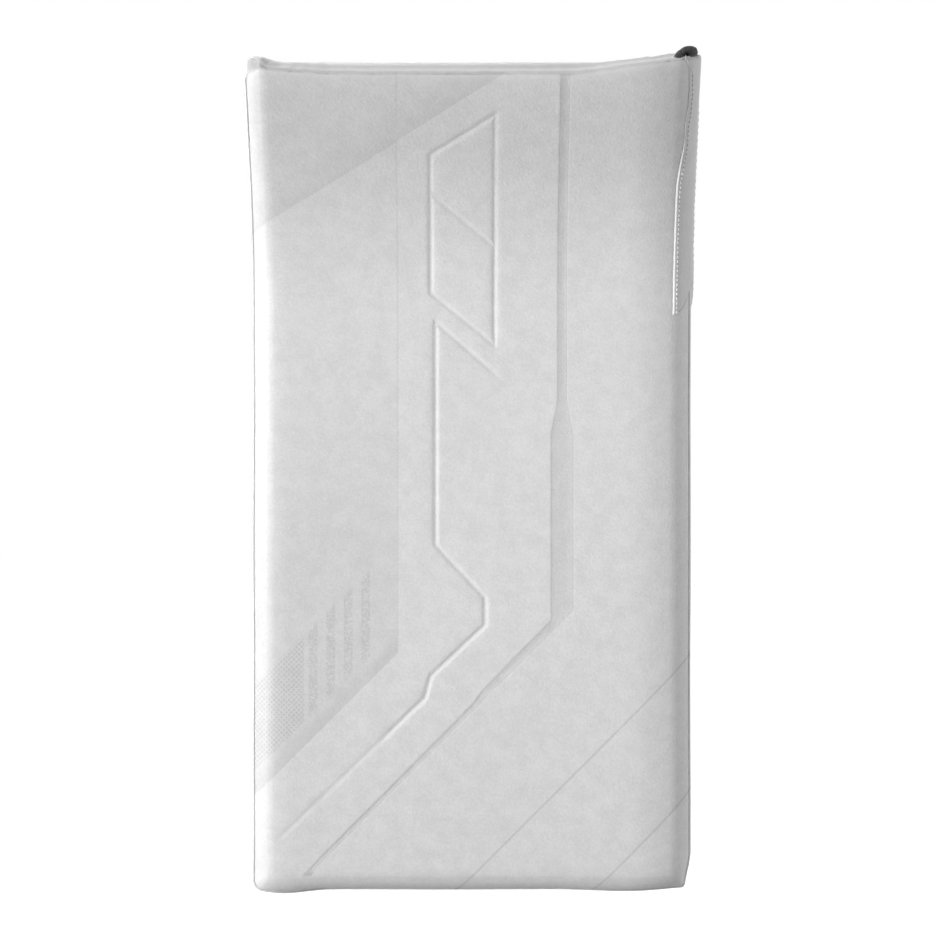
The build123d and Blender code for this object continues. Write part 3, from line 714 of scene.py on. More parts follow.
def printed(finish, colour):
    """Faint tonal print: a side panel with slanted ends, dots, upright bars and two lines."""
    across = finish.math("SUBTRACT", finish.x, BOARD_MIDDLE_X)
    slant = finish.math("SUBTRACT", finish.z, across)
    foot = finish.math("SUBTRACT", slant, PANEL_FOOT)
    head = finish.math("MULTIPLY_ADD", across, PANEL_SLOPE, PANEL_HEAD)
    head = finish.math("SUBTRACT", finish.z, head)
    above = finish.math("GREATER_THAN", head, 0.0)
    panel = finish.math("LESS_THAN", across, PANEL_EDGE)
    panel = finish.math("MAXIMUM", panel, above)
    panel = finish.math("MULTIPLY", panel, finish.math("GREATER_THAN", foot, 0.0))
    panel = finish.math("MULTIPLY", panel, finish.math("GREATER_THAN", across, PRINT_START))
    base = finish.fit(finish.z, -0.04, 0.07, 0.30, 0.06)
    near_foot = finish.fit(foot, 0.3 * PANEL_FADE, PANEL_FADE, 0.48, 0.0)
    near_foot = finish.math("MAXIMUM", near_foot, base)
    near_head = finish.fit(head, 0.0, PANEL_FADE, 0.42, 0.12)
    near_head = finish.math("MULTIPLY", near_head, above)
    edge = finish.math("ABSOLUTE", finish.math("SUBTRACT", across, PANEL_EDGE))
    edge = finish.fit(edge, 0.0, 3 * LINE_WIDTH, 0.42, 0.0)
    head_line = finish.fit(finish.math("ABSOLUTE", head), 0.0, 2 * LINE_WIDTH, 0.5, 0.0)
    tone = finish.math("MAXIMUM", finish.math("MAXIMUM", near_foot, near_head), edge)
    shade = finish.math("MULTIPLY", panel, finish.math("MAXIMUM", tone, head_line))

    row = finish.math("MULTIPLY", finish.z, 2 * math.pi / DOT_PITCH)
    column = finish.math("MULTIPLY", across, 2 * math.pi / DOT_PITCH)
    dots = finish.math("MULTIPLY", finish.math("SINE", row), finish.math("SINE", column))
    dots = finish.fit(dots, 0.15, 0.40, 0.08, 0.55)
    inner = finish.math("ABSOLUTE", finish.math("SUBTRACT", foot, 0.031))
    inner = finish.fit(inner, 0.018, 0.021, 1.0, 0.0)
    outer = finish.math("LESS_THAN", across, DOT_EDGE)
    dots = finish.math("MULTIPLY", dots, outer)

    bars = finish.threads(finish.math("ADD", across, BAR_SHIFT), BAR_PITCH)
    bars = finish.math("GREATER_THAN", bars, 0.5)
    grain = finish.fit(finish.noise(1100, 2), 0.46, 0.52, 0.05, 0.42)
    bars = finish.math("MULTIPLY", bars, grain)
    between = finish.math("GREATER_THAN", across, DOT_EDGE)
    between = finish.math("MULTIPLY", between, finish.math("LESS_THAN", across, BAR_EDGE))
    bars = finish.math("MULTIPLY", bars, between)
    pattern = finish.math("MULTIPLY", finish.math("MAXIMUM", dots, bars), inner)
    shade = finish.math("MULTIPLY_ADD", pattern, panel, shade)

    for drop in SLANT_LINES:
        off_line = finish.math("ABSOLUTE", finish.math("SUBTRACT", slant, drop))
        line = finish.fit(off_line, LINE_WIDTH, 1.8 * LINE_WIDTH, 0.55, 0.0)
        right_side = finish.math("GREATER_THAN", across, -0.01)
        shade = finish.math("MAXIMUM", shade, finish.math("MULTIPLY", line, right_side))
    sunk = finish.add("ShaderNodeAttribute", attribute_name="pressed").outputs["Fac"]
    rail_edge = finish.math("MULTIPLY", sunk, finish.math("SUBTRACT", 1.0, sunk))
    shade = finish.math("MULTIPLY_ADD", sunk, RAIL_SHADE, shade)
    shade = finish.math("MULTIPLY_ADD", rail_edge, RAIL_EDGE_SHADE, shade)
    return finish.shade(shade, colour, grey(PRINT_TONE))


finish = Finish("cover_leather_white")
colour, rough, normal = pebbled(finish, COVER_LIGHT, COVER_DARK)
dress(cover, finish.done(printed(finish, colour), rough, normal))
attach(cover, "board_and_glove")
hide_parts("face_cover")


# End strip
# A narrow strip of the same leather closes the board's finger end. It is stuffed by the foam's
# edge and sewn in along the front, where it puckers at both corners.

STRIP_INSET = 0.0010
STRIP_SIDE = 0.0056
STRIP_CROWN = 0.0022
STRIP_SHOULDER = 0.0018
STRIP_TOP = 0.0006  # how far its flat top lies below the board's end
SHOULDER_DROP = 0.0022
GUTTER_DROP = 0.0009
CORNER_PULL = 0.0024  # height of the folded leather at the left corner
CORNER_FREE = 0.0965  # past this the top of the strip stops following the seam
PUCKER = 0.0006
SIDE_PUCKER = 0.0005
# Painted shade in the gutter where the strip meets the cover's front, and over the strip's top
# behind it.
GUTTER_PAINTED_SHADE, REAR_PAINTED_SHADE = 0.75, 0.45


def edge_depth(off):
    """How far the board's rounded edge falls back, at a distance off the centre line."""
    past = abs(off) - (BOARD_WIDTH / 2 - EDGE_RADIUS)
    if past <= 0:
        return 0
    return EDGE_RADIUS - math.sqrt(max(0, EDGE_RADIUS**2 - min(past, EDGE_RADIUS) ** 2))


end_strip = start_cube(
    "end_strip_leather",
    (LEFT_X + STRIP_INSET, FACE_Y + STRIP_INSET, TOP_RUN - STRIP_SIDE),
    (RIGHT_X - STRIP_INSET, FACE_Y + BOARD_THICKNESS + 0.001, TOP_RUN - STRIP_TOP),
)
bevel_edges(
    end_strip,
    lambda e: edge_along(end_strip, e, 2) and edge_middle(end_strip, e).y < FACE_Y + 0.005,
    EDGE_RADIUS - STRIP_INSET,
    7,
)
slice_grid(end_strip, 0, 0.0016)
slice_grid(end_strip, 1, 0.0016)
slice_grid(end_strip, 2, 0.0018)
seam = end_strip.data.attributes.new("seam", "FLOAT", "POINT")
for vertex in end_strip.data.vertices:
    x, y, z = vertex.co
    off = x - BOARD_MIDDLE_X
    depth = y - FACE_Y
    on_top = rise(z, TOP_RUN - 0.0022, TOP_RUN - STRIP_TOP)
    share = min(1, max(0, depth / BOARD_THICKNESS))
    aside = max(0, BOARD_WIDTH / 2 - STRIP_INSET - abs(off))
    crown = math.sin(math.pi * share) ** 0.8
    shoulder = max(0, 1 - aside / STRIP_SHOULDER) ** 2
    gutter = 1 - rise(depth - edge_depth(off), 0.0006, 0.0028)
    fold = 1 - rise(aside, 0.004, 0.030)
    folds = noise.noise(Vector((x * 420, y * 110, 3)))
    folded = CORNER_PULL * rise(-off, 0.087, 0.097)
    top_lift = end_lift(max(off, -CORNER_FREE), depth) + folded
    vertex.co.z += end_lift(off, depth) * (1 - on_top) + top_lift * on_top
    vertex.co.y += side_fall(off, depth)
    sunk = SHOULDER_DROP * shoulder
    vertex.co.z += on_top * (STRIP_CROWN * crown - sunk - GUTTER_DROP * gutter)
    vertex.co.z += on_top * PUCKER * folds * (0.2 + 1.3 * fold)
    vertex.co.x += SIDE_PUCKER * fold * noise.noise(Vector((z * 700, y * 150, 9)))
    # The seam attribute carries painted shade here: in the front gutter and over the strip's rear.
    behind = rise(depth - edge_depth(off), 0.004, 0.009)
    seam.data[vertex.index].value = max(GUTTER_PAINTED_SHADE * gutter, REAR_PAINTED_SHADE * behind)
bend_board(end_strip)
smooth(end_strip, 70)

STRIP_LIGHT, STRIP_DARK = 0.74, 0.67
dress(end_strip, white_leather("end_strip_leather", STRIP_LIGHT, STRIP_DARK))
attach(end_strip, "board_and_glove")
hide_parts("top_gusset")


# Flap strip
# A strip of the same leather that carries the side flap. It laps over the board's right edge,
# its front edge sewn down on the face with one row of white thread.

FLAP_FOOT = 0.074
STRIP_THICKNESS = 0.0006
STITCH_PITCH = 0.0021
STITCH_LENGTH = 0.0016
HOLE_LENGTH = 0.0007
THREAD_RADIUS = 0.00036
STITCH_INSET = 0.0016
SEAM_PITCH = 0.0032

STRIP_START = 0.0890
STRIP_FOOT_RISE = 0.0165
FOOT_RIM = 0.0009
STRIP_EDGE = [
    (FLAP_FOOT, 0.0921),
    (0.1319, 0.0927),
    (0.1411, 0.0938),
    (0.1493, 0.0953),
    (0.1587, 0.0953),
    (0.1648, 0.0962),
    (0.1704, 0.0965),
    (0.1790, 0.0960),
    (TOP_RUN, 0.0935),
]


def round_edges(piece, width, segments, degrees=30):
    """Rounds the edges of a piece that turn more sharply than an angle."""
    soft = piece.modifiers.new("soft", "BEVEL")
    soft.width = width
    soft.segments = segments
    soft.angle_limit = math.radians(degrees)
    apply_all(piece)


cut_level(flap_strip, 2, FLAP_FOOT)
cut_level(flap_strip, 0, BOARD_MIDDLE_X + STRIP_START)
delete_faces(
    flap_strip,
    lambda f: f.center.z < FLAP_FOOT or f.center.x < BOARD_MIDDLE_X + STRIP_START,
)
cut_level(flap_strip, 2, FLAP_FOOT + FOOT_RIM)
painted_foot_shadow = []
for vertex in flap_strip.data.vertices:
    off = vertex.co.x - BOARD_MIDDLE_X
    share = (off - STRIP_START) / (BOARD_WIDTH / 2 - STRIP_START)
    foot = 1 - rise(vertex.co.z, FLAP_FOOT, FLAP_FOOT + 0.04)
    if vertex.co.y < FACE_Y + EDGE_RADIUS - 1e-5:
        front = through(STRIP_EDGE, vertex.co.z)
        off = front + share * (BOARD_WIDTH / 2 - front)
        vertex.co.x = BOARD_MIDDLE_X + off
        vertex.co.y = FACE_Y + edge_depth(off)
        vertex.co.y += STRIP_THICKNESS * 0.85 * (1 - rise(share, 0, 0.05))
    if vertex.co.z < FLAP_FOOT + FOOT_RIM / 2 and share > 0.25:
        painted_foot_shadow.append(vertex.index)
    vertex.co.z += STRIP_FOOT_RISE * foot * share**2
soften_cover(flap_strip)
# Painted shadow in the dark gap under the strip's lifted foot.
for index in painted_foot_shadow:
    flap_strip.data.attributes["seam"].data[index].value = 1
bend_board(flap_strip)
thicken(flap_strip, STRIP_THICKNESS)
round_edges(flap_strip, STRIP_THICKNESS / 2.2, 2)
smooth(flap_strip)

TRIM_LIGHT, TRIM_DARK = 0.77, 0.70
trim_leather = white_leather("trim_leather_white", TRIM_LIGHT, TRIM_DARK)
dress(flap_strip, trim_leather)
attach(flap_strip, "board_and_glove")
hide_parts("flap_strip")


def start_stitch(length):
    """One stitch of thread standing upright at the origin."""
    deselect()
    bpy.ops.mesh.primitive_uv_sphere_add(segments=8, ring_count=6, radius=1)
    stitch = bpy.context.object
    stitch.scale = (THREAD_RADIUS, THREAD_RADIUS, length / 2)
    bpy.ops.object.transform_apply(location=True, rotation=True, scale=True)
    smooth(stitch)
    return stitch


def sew(name, row, material, body, length=STITCH_LENGTH):
    """One row of stitches: each is a place, the row's direction there, and the way out."""
    piece = start_stitch(length)
    one = piece.data.copy()
    copies = []
    for place, along, out in row:
        side = along.cross(out).normalized()
        out = side.cross(along).normalized()
        turn = Matrix((side, out, along.normalized())).transposed().to_4x4()
        turn.translation = place
        copy = piece if not copies else bpy.data.objects.new(name, one.copy())
        if copies:
            bpy.context.scene.collection.objects.link(copy)
        copy.data.transform(turn)
        copies.append(copy)
    deselect()
    for copy in copies:
        copy.select_set(True)
    bpy.context.view_layer.objects.active = piece
    bpy.ops.object.join()
    piece.name = name
    dress(piece, material)
    if body:
        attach(piece, body)
    return piece


def thread(name, light, dark):
    finish = Finish(name)
    ply = finish.threads(finish.math("ADD", finish.x, finish.z), 0.0005)
    colour = finish.mix(finish.noise(300), grey(dark), grey(light))
    return finish.done(colour, 0.55, finish.bump(ply, 0.00005))


thread_white = thread("thread_white", 0.88, 0.80)
# Painted shade: dark dots for the shade inside the needle holes beside the stitches.
painted_hole_shade = thread("painted_hole_shade", 0.42, 0.32)


def on_surface(piece, start, direction):
    """Where a straight line meets a piece, and the way out of it there."""
    hit, place, normal, face = piece.ray_cast(Vector(start), Vector(direction))
    return (place, normal) if hit else (None, None)


def sew_along(piece, points, direction, pitch=SEAM_PITCH, first=0.0):
    """Stitches at an even pitch along a line of points thrown onto a piece."""
    row = []
    spare = first
    for start, end in zip(points, points[1:]):
        step = Vector(end) - Vector(start)
        run = spare
        while run < step.length:
            place, out = on_surface(piece, Vector(start) + step * (run / step.length), direction)
            if place:
                along = step.normalized()
                along -= out * along.dot(out)
                row.append((place - out * THREAD_RADIUS * 0.2, along.normalized(), out))
            run += pitch
        spare = run - step.length
    return row


def strip_seam():
    """The strip's row of stitches: points in front of its sewn-down edge, up to the end."""
    points = []
    z = FLAP_FOOT + 0.001
    while z < TOP_RUN - 0.001:
        off = through(STRIP_EDGE, z) + STITCH_INSET
        flat = Vector((BOARD_MIDDLE_X + off, FACE_Y, z))
        flat.z += drawn_up(off, 0, z)
        points.append(bend_point(flat) - Vector((0, 0.05, 0)))
        z += 0.004
    return points


# Dark dots between the stitches paint the shade inside the needle holes.
holes = sew_along(flap_strip, strip_seam(), (0, 1, 0), STITCH_PITCH, STITCH_PITCH / 2)
sew(
    "flap_strip_needle_holes", holes, painted_hole_shade, "board_and_glove", HOLE_LENGTH
)
row = sew_along(flap_strip, strip_seam(), (0, 1, 0), STITCH_PITCH)
sew("flap_strip_stitches", row, thread_white, "board_and_glove")


# Corner lace
# A short black braided lace that comes up one eyelet, bends tightly over and goes down the
# other. It ties the flap's corner down; the two eyelets are pressed into the end strip.

LACE_RADIUS = 0.0022
LACE_FROM_EDGE = 0.0074
LACE_SPREAD = 0.0029
LACE_LOW = 0.8  # height of the lace's arch for its half width
LACE_LEAN = 0.35
LACE_DEPTH = 0.0048
LACE_LEG = 0.003
LACE_SIDES = 24
LACE_RINGS = 90
LACE_TURNS = 5
STRAND_RISE = 0.00032
EYELET_OUTER = 0.0029
EYELET_WIRE = 0.0006


def end_place(off, depth, height):
    """A point over the board's end: off its centre line, behind its face, above the strip."""
    flat = Vector((BOARD_MIDDLE_X + off, FACE_Y + depth, TOP_RUN + height))
    flat.z += STRIP_CROWN * 0.2 + end_lift(off, depth)
    flat.y += side_fall(off, depth)
    return bend_point(flat)


def turn_outward(piece):
    """Makes all of a piece's faces look out of it."""
    open_all(piece)
    bpy.ops.mesh.normals_make_consistent(inside=False)
    leave()


def merge(pieces, name):
    deselect()
    for piece in pieces:
        piece.select_set(True)
    bpy.context.view_layer.objects.active = pieces[0]
    bpy.ops.object.join()
    pieces[0].name = name
    return pieces[0]


lace_middle = BOARD_WIDTH / 2 - LACE_FROM_EDGE


def lace_line(share):
    """The lace's middle line: up, over in a half round and down."""
    length = 2 * LACE_LEG + math.pi * LACE_SPREAD
    run = share * length
    if run < LACE_LEG:
        return Vector((-LACE_SPREAD, 0, run - LACE_LEG))
    if run > length - LACE_LEG:
        return Vector((LACE_SPREAD, 0, length - LACE_LEG - run))
    turn = (run - LACE_LEG) / LACE_SPREAD
    return Vector((-LACE_SPREAD * math.cos(turn), 0, LACE_SPREAD * math.sin(turn)))


deselect()
bpy.ops.mesh.primitive_cylinder_add(
    vertices=LACE_SIDES, radius=LACE_RADIUS, depth=1, end_fill_type="NGON"
)
lace = bpy.context.object
lace.name = "corner_lace_braid"
slice_grid(lace, 2, 1 / LACE_RINGS)
for vertex in lace.data.vertices:
    share = vertex.co.z + 0.5
    around = math.atan2(vertex.co.y, vertex.co.x)
    twist = 2 * math.pi * LACE_TURNS * 2 * share
    left = math.sin(4 * around + twist)
    right = math.sin(4 * around - twist)
    rim = math.hypot(vertex.co.x, vertex.co.y) / LACE_RADIUS
    radius = LACE_RADIUS * rim + STRAND_RISE * max(left, right) * rim
    ahead = lace_line(min(1, share + 0.01)) - lace_line(max(0, share - 0.01))
    ahead.normalize()
    out = Vector((-ahead.z, 0, ahead.x))
    place = lace_line(share)
    place += out * radius * math.cos(around) + Vector((0, radius * math.sin(around), 0))
    depth = LACE_DEPTH + place.y - min(0, place.z) * 0.6
    high = place.z * (LACE_LOW if place.z > 0 else 1)
    vertex.co = end_place(lace_middle + place.x + LACE_LEAN * max(0, high), depth, high)
turn_outward(lace)
smooth(lace, 80)

finish = Finish("braided_lace")
fibre = finish.noise(2600, 4, 0.7)
colour = finish.mix(finish.fit(fibre, 0.35, 0.7), grey(0.012), grey(0.045))
lace_black = finish.done(colour, 0.6, finish.bump(fibre, 0.00008))
dress(lace, lace_black)
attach(lace, "board_and_glove")
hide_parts("corner_lace")

rings = []
for side in (-1, 1):
    deselect()
    bpy.ops.mesh.primitive_torus_add(
        major_segments=28,
        minor_segments=10,
        major_radius=EYELET_OUTER - EYELET_WIRE,
        minor_radius=EYELET_WIRE,
    )
    ring = bpy.context.object
    for vertex in ring.data.vertices:
        x, y, z = vertex.co
        off = lace_middle + side * LACE_SPREAD
        vertex.co = end_place(off + x, LACE_DEPTH + y, z * 0.7 - 0.0002)
    rings.append(ring)
eyelets = merge(rings, "lace_eyelet_rings")
turn_outward(eyelets)
smooth(eyelets)

finish = Finish("eyelet_enamel")
worn = finish.fit(finish.noise(900, 4), 0.62, 0.75)
colour = finish.mix(worn, grey(0.03), grey(0.16))
eyelet_enamel = finish.done(colour, finish.fit(worn, 0, 1, 0.32, 0.5))
dress(eyelets, eyelet_enamel)
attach(eyelets, "board_and_glove")
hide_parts("lace_eyelets")


# Side flap
# A thin pad behind the board's right edge that shields the side of the hand. A white leather
# skin over foam, swept at its lower rear corner and closed by a panel on the thumb's side.

FLAP_FRONT_DEPTH = 0.0316
FLAP_OUTER_X = 0.0862
FLAP_THICKNESS = 0.0142
FLAP_REAR_Y = 0.030
FLAP_TOP_Z = 0.1835
FLAP_SWEEP = 0.034
PAD_VOXEL = 0.0034


def board_front_y(z, depth):
    """Y of the surface at a depth behind the face, at a height on the bent board."""
    radius = BEND_RADIUS + depth
    if z <= BEND_START:
        return FACE_Y + depth
    end_z = BEND_START + radius * math.sin(BEND_ANGLE)
    turn = math.asin((min(z, end_z) - BEND_START) / radius)
    y = FACE_Y - BEND_RADIUS + radius * math.cos(turn)
    return y - max(0, z - end_z) * math.tan(BEND_ANGLE)


def cut_off(piece, point, normal):
    """Cuts away what lies beyond a plane and closes the cut."""
    open_all(piece)
    bpy.ops.mesh.bisect(plane_co=point, plane_no=normal, clear_outer=True, use_fill=True)
    leave()


def remesh(piece, voxel, rounds=4):
    """Even quads all over, rounded off a little as sewn covers are."""
    grid = piece.modifiers.new("grid", "REMESH")
    grid.mode = "VOXEL"
    grid.voxel_size = voxel
    soft = piece.modifiers.new("soft", "SMOOTH")
    soft.factor = 0.5
    soft.iterations = rounds
    apply_all(piece)


def stuff(piece, most, pressure=4.0):
    """Fills a sewn cover from inside with cloth under pressure; no point moves past a limit."""
    flat = [vertex.co.copy() for vertex in piece.data.vertices]
    cloth = piece.modifiers.new("filling", "CLOTH")
    cloth.settings.quality = 5
    cloth.settings.mass = 0.3
    cloth.settings.use_pressure = True
    cloth.settings.uniform_pressure_force = pressure
    cloth.settings.effector_weights.gravity = 0
    cloth.point_cache.frame_start = 1
    cloth.point_cache.frame_end = 20
    for step in range(1, 21):
        bpy.context.scene.frame_set(step)
    apply_all(piece)
    bpy.context.scene.frame_set(1)
    for vertex, start in zip(piece.data.vertices, flat):
        move = vertex.co - start
        if move.length > most:
            vertex.co = start + move.normalized() * most


def refine(piece):
    finer = piece.modifiers.new("finer", "SUBSURF")
    finer.levels = 1
    finer.render_levels = 1
    apply_all(piece)


def press_line(piece, distance, half, sink):
    """Sinks a sewn line into a piece: distance gives how far a point is from the line."""
    moves = []
    for vertex in piece.data.vertices:
        far = distance(vertex.co, vertex.normal)
        if far < half:
            moves.append((vertex, sink * (0.5 + 0.5 * math.cos(math.pi * far / half))))
    for vertex, depth in moves:
        vertex.co -= vertex.normal * depth


flap = start_cube(
    "flap_leather",
    (FLAP_OUTER_X - FLAP_THICKNESS, FACE_Y + FLAP_FRONT_DEPTH, FLAP_FOOT),
    (FLAP_OUTER_X, FLAP_REAR_Y, FLAP_TOP_Z),
)
cut_off(flap, (0, FLAP_REAR_Y, FLAP_FOOT + FLAP_SWEEP), (0, 1, -1))
bevel_edges(
    flap,
    lambda e: edge_along(flap, e, 0) and edge_middle(flap, e).y > FLAP_REAR_Y - 0.001,
    0.018,
    6,
)
bevel_edges(
    flap,
    lambda e: edge_along(flap, e, 0) and edge_middle(flap, e).y < FLAP_REAR_Y - 0.02,
    0.004,
    3,
)
slice_grid(flap, 2, 0.006)
front = FACE_Y + FLAP_FRONT_DEPTH
for vertex in flap.data.vertices:
    moved = board_front_y(vertex.co.z, FLAP_FRONT_DEPTH)
    share = (FLAP_REAR_Y - vertex.co.y) / (FLAP_REAR_Y - front)
    vertex.co.y = FLAP_REAR_Y - share * (FLAP_REAR_Y - moved)
remesh(flap, PAD_VOXEL, 3)
stuff(flap, 0.0016)
press_line(flap, lambda p, n: abs(p.x - (FLAP_OUTER_X - 0.0035)), 0.0022, 0.0009)
refine(flap)
smooth(flap, 60)
dress(flap, trim_leather)
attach(flap, "flap")
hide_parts("flap_cover", "flap_foam")


FLAP_SEAM_INSET = 0.0075


def flap_seam():
    points = []
    for z in (0.083, 0.098, 0.112, 0.126, 0.140, 0.160, 0.174):
        points.append((0.2, board_front_y(z, FLAP_FRONT_DEPTH) + FLAP_SEAM_INSET, z))
    points += [(0.2, 0.004, 0.176), (0.2, 0.014, 0.173), (0.2, 0.021, 0.163)]
    points += [(0.2, 0.0225, 0.150), (0.2, 0.0225, 0.118), (0.2, 0.019, 0.108)]
    points += [(0.2, -0.006, 0.084), (0.2, -0.012, 0.082), (0.2, -0.026, 0.083)]
    return points


row = sew_along(flap, flap_seam(), (-1, 0, 0))
sew("flap_stitches", row, thread_white, "flap")

LINER_LAP = 0.0004
LINER_THICKNESS = 0.0008

liner = double(flap, "flap_liner_cloth")
delete_faces(liner, lambda f: f.normal.x > -0.8 or f.center.x > FLAP_OUTER_X - 0.009)
for vertex in liner.data.vertices:
    vertex.co.x -= LINER_LAP
thicken(liner, LINER_THICKNESS)
smooth(liner)


def woven(name, light, dark, pitch, rough=0.75, sheen=0.15):
    """Plain woven cloth: threads crossing at one pitch, with a little unevenness."""
    finish = Finish(name)
    side = finish.math("ADD", finish.x, finish.y)
    warp = finish.threads(side, pitch)
    weft = finish.threads(finish.z, pitch)
    weave = finish.math("MULTIPLY", warp, weft)
    uneven = finish.noise(240, 3)
    share = finish.math("MULTIPLY_ADD", weave, 0.6, finish.math("MULTIPLY", uneven, 0.4))
    colour = finish.mix(share, dark, light)
    finish.shader.inputs["Sheen Weight"].default_value = sheen
    return finish.done(colour, rough, finish.bump(weave, pitch / 8))


panel_cloth = woven("panel_cloth", grey(0.70), grey(0.60), 0.0011)
dress(liner, panel_cloth)
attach(liner, "flap")
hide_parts("flap_liner")


# Foam core and stiffener
# The board's filling: impact foam behind the face, a stiff plastic sheet, then softer foam. It is
# cut from sheet and glued in the tray of the face cover.

finish = Finish("closed_cell_foam")
cells = finish.cells(1500)
colour = finish.mix(finish.fit(cells, 0, 0.6), grey(0.30), grey(0.42))
foam_grey = finish.done(colour, 0.9, finish.bump(cells, 0.0002))

finish = Finish("stiffener_plastic")
scuff = finish.noise(200, 5)
sheet_white = finish.done(
    finish.mix(scuff, grey(0.72), grey(0.8)), finish.fit(scuff, 0.3, 0.7, 0.4, 0.55)
)
FOAM_INSET = 0.0046
FOAM_CHAMFER = 0.0065
FOAM_REAR = 0.0160
FOAM_SHORT = 0.0095
foam_block = start_cube(
    "impact_foam_block",
    (LEFT_X + FOAM_INSET, FACE_Y + FOAM_INSET, HEEL_Z + FOAM_INSET),
    (RIGHT_X - FOAM_INSET, FACE_Y + FOAM_REAR, TOP_RUN - FOAM_SHORT),
)
bevel_edges(
    foam_block, lambda e: edge_middle(foam_block, e).y < FACE_Y + FOAM_INSET + 1e-5, FOAM_CHAMFER, 2
)
slice_grid(foam_block, 0, 0.006)
slice_grid(foam_block, 2, 0.006)
for vertex in foam_block.data.vertices:
    depth = vertex.co.y - FACE_Y
    if depth < FOAM_REAR - 1e-5:
        vertex.co.y += side_fall(vertex.co.x - BOARD_MIDDLE_X, depth)
bend_board(foam_block)
dress(foam_block, foam_grey)
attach(foam_block, "board_and_glove")
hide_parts("impact_foam")

dress(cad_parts["liner_foam"], foam_grey)
dress(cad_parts["stiffener_sheet"], sheet_white)


# Back panel and rear binding
# Tough white cloth glued over the rear foam, and a leather tape folded and sewn round the edge
# where it meets the face cover.

BACK_Y = FACE_Y + BOARD_THICKNESS
PANEL_INSET = 0.0035
PANEL_THICKNESS = 0.003
BINDING_WIDTH = 0.0075
BINDING_THICKNESS = 0.0032
BINDING_ROUND = 0.0011
PANEL_SWELL = 0.0006

back_panel = start_cube(
    "back_panel_cloth",
    (LEFT_X + PANEL_INSET, BACK_Y - PANEL_THICKNESS, HEEL_Z + PANEL_INSET),
    (RIGHT_X - PANEL_INSET, BACK_Y, TOP_RUN - 2 * PANEL_INSET),
)
slice_grid(back_panel, 0, 0.005)
slice_grid(back_panel, 2, 0.005)
for vertex in back_panel.data.vertices:
    place = vertex.co.copy()
    edge_x = BOARD_WIDTH / 2 - abs(place.x - BOARD_MIDDLE_X)
    edge_z = min(place.z - HEEL_Z, TOP_RUN - place.z)
    swell = rise(min(edge_x, edge_z), 0.003, 0.020)
    if place.y > BACK_Y - 0.001:
        vertex.co.y += PANEL_SWELL * swell * (1 + noise.noise(place * 30))
bend_board(back_panel)
smooth(back_panel)
dress(back_panel, panel_cloth)
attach(back_panel, "board_and_glove")
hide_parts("back_panel")

binding = start_cube(
    "rear_binding_tape",
    (LEFT_X + 0.0002, BACK_Y - 0.0008, HEEL_Z + 0.0002),
    (RIGHT_X - 0.0002, BACK_Y + BINDING_THICKNESS, TOP_RUN + 0.0004),
)
bevel_edges(binding, lambda e: edge_along(binding, e, 1), CORNER_TIGHT, 5)
edit(binding, "FACE")
pick(binding.data.polygons, lambda f: abs(f.normal.y) > 0.99)
bpy.ops.mesh.inset(thickness=BINDING_WIDTH, use_individual=True)
bpy.ops.mesh.delete(type="FACE")
bpy.ops.mesh.select_mode(type="EDGE")
bpy.ops.mesh.select_all(action="DESELECT")
bpy.ops.mesh.select_non_manifold()
bpy.ops.mesh.bridge_edge_loops()
leave()
round_edges(binding, BINDING_ROUND, 3, 60)
slice_grid(binding, 0, 0.005)
slice_grid(binding, 2, 0.005)
for vertex in binding.data.vertices:
    place = vertex.co.copy()
    vertex.co.z += drawn_up(place.x - BOARD_MIDDLE_X, place.y - FACE_Y, place.z)
    vertex.co.y += 0.00025 * noise.noise(place * 120)
bend_board(binding)
smooth(binding)
dress(binding, trim_leather)
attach(binding, "board_and_glove")
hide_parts("rear_binding")


def binding_row():
    """The stitches right round the tape, along the middle of what shows from behind."""
    inset = BINDING_WIDTH * 0.7
    low = Vector((LEFT_X + inset, HEEL_Z + inset))
    high = Vector((RIGHT_X - inset, TOP_RUN - inset))
    corners = [low, Vector((high.x, low.y)), high, Vector((low.x, high.y)), low]
    row = []
    for start, end in zip(corners, corners[1:]):
        step = (end - start).normalized()
        count = int((end - start).length / SEAM_PITCH)
        for number in range(1, count):
            at = start + (end - start) * number / count
            lift = drawn_up(at.x - BOARD_MIDDLE_X, BOARD_THICKNESS, at.y)
            flat = Vector((at.x, BACK_Y + BINDING_THICKNESS + 0.0001, at.y + lift))
            ahead = flat + Vector((step.x, 0, step.y)) * 0.001
            place = bend_point(flat)
            out = bend_point(flat + Vector((0, 0.001, 0))) - place
            row.append((place, bend_point(ahead) - place, out))
    return row


sew("rear_binding_stitches", binding_row(), thread_white, "board_and_glove")


# Riser pad
# A foam block in stretch cloth that stands the glove off the board. It is glued and sewn to the
# back panel, and has one pressed line round it where its two halves of cloth meet.


def start_copy(name, node):
    """A closed copy of a solid's form, to be made into the soft piece that stands for it."""
    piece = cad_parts[node].copy()
    piece.data = piece.data.copy()
    piece.parent = None
    piece.matrix_world.identity()
    bpy.context.scene.collection.objects.link(piece)
    piece.name = name
    open_all(piece, "VERT")
    bpy.ops.mesh.remove_doubles(threshold=1e-5)
    leave()
    return piece


RISER_SEAM_Y = -0.0328

riser = start_copy("riser_pad_cloth", "riser_pad")
remesh(riser, 0.004, 2)
stuff(riser, 0.0008)
press_line(riser, lambda p, n: abs(p.y - RISER_SEAM_Y), 0.0022, 0.0008)
refine(riser)
smooth(riser, 60)
glove_cloth = woven("glove_cloth", grey(0.075), grey(0.025), 0.0009, 0.8, 0.3)
dress(riser, glove_cloth)
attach(riser, "board_and_glove")
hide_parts("riser_pad")


# Hand back
# The padded panel over the back of the hand, between the riser pad and the fingers' roots. It is
# quilted in channels that run across the hand, so that it folds with it.

QUILT_LINES = (-0.030, -0.012, 0.006, 0.024, 0.040)

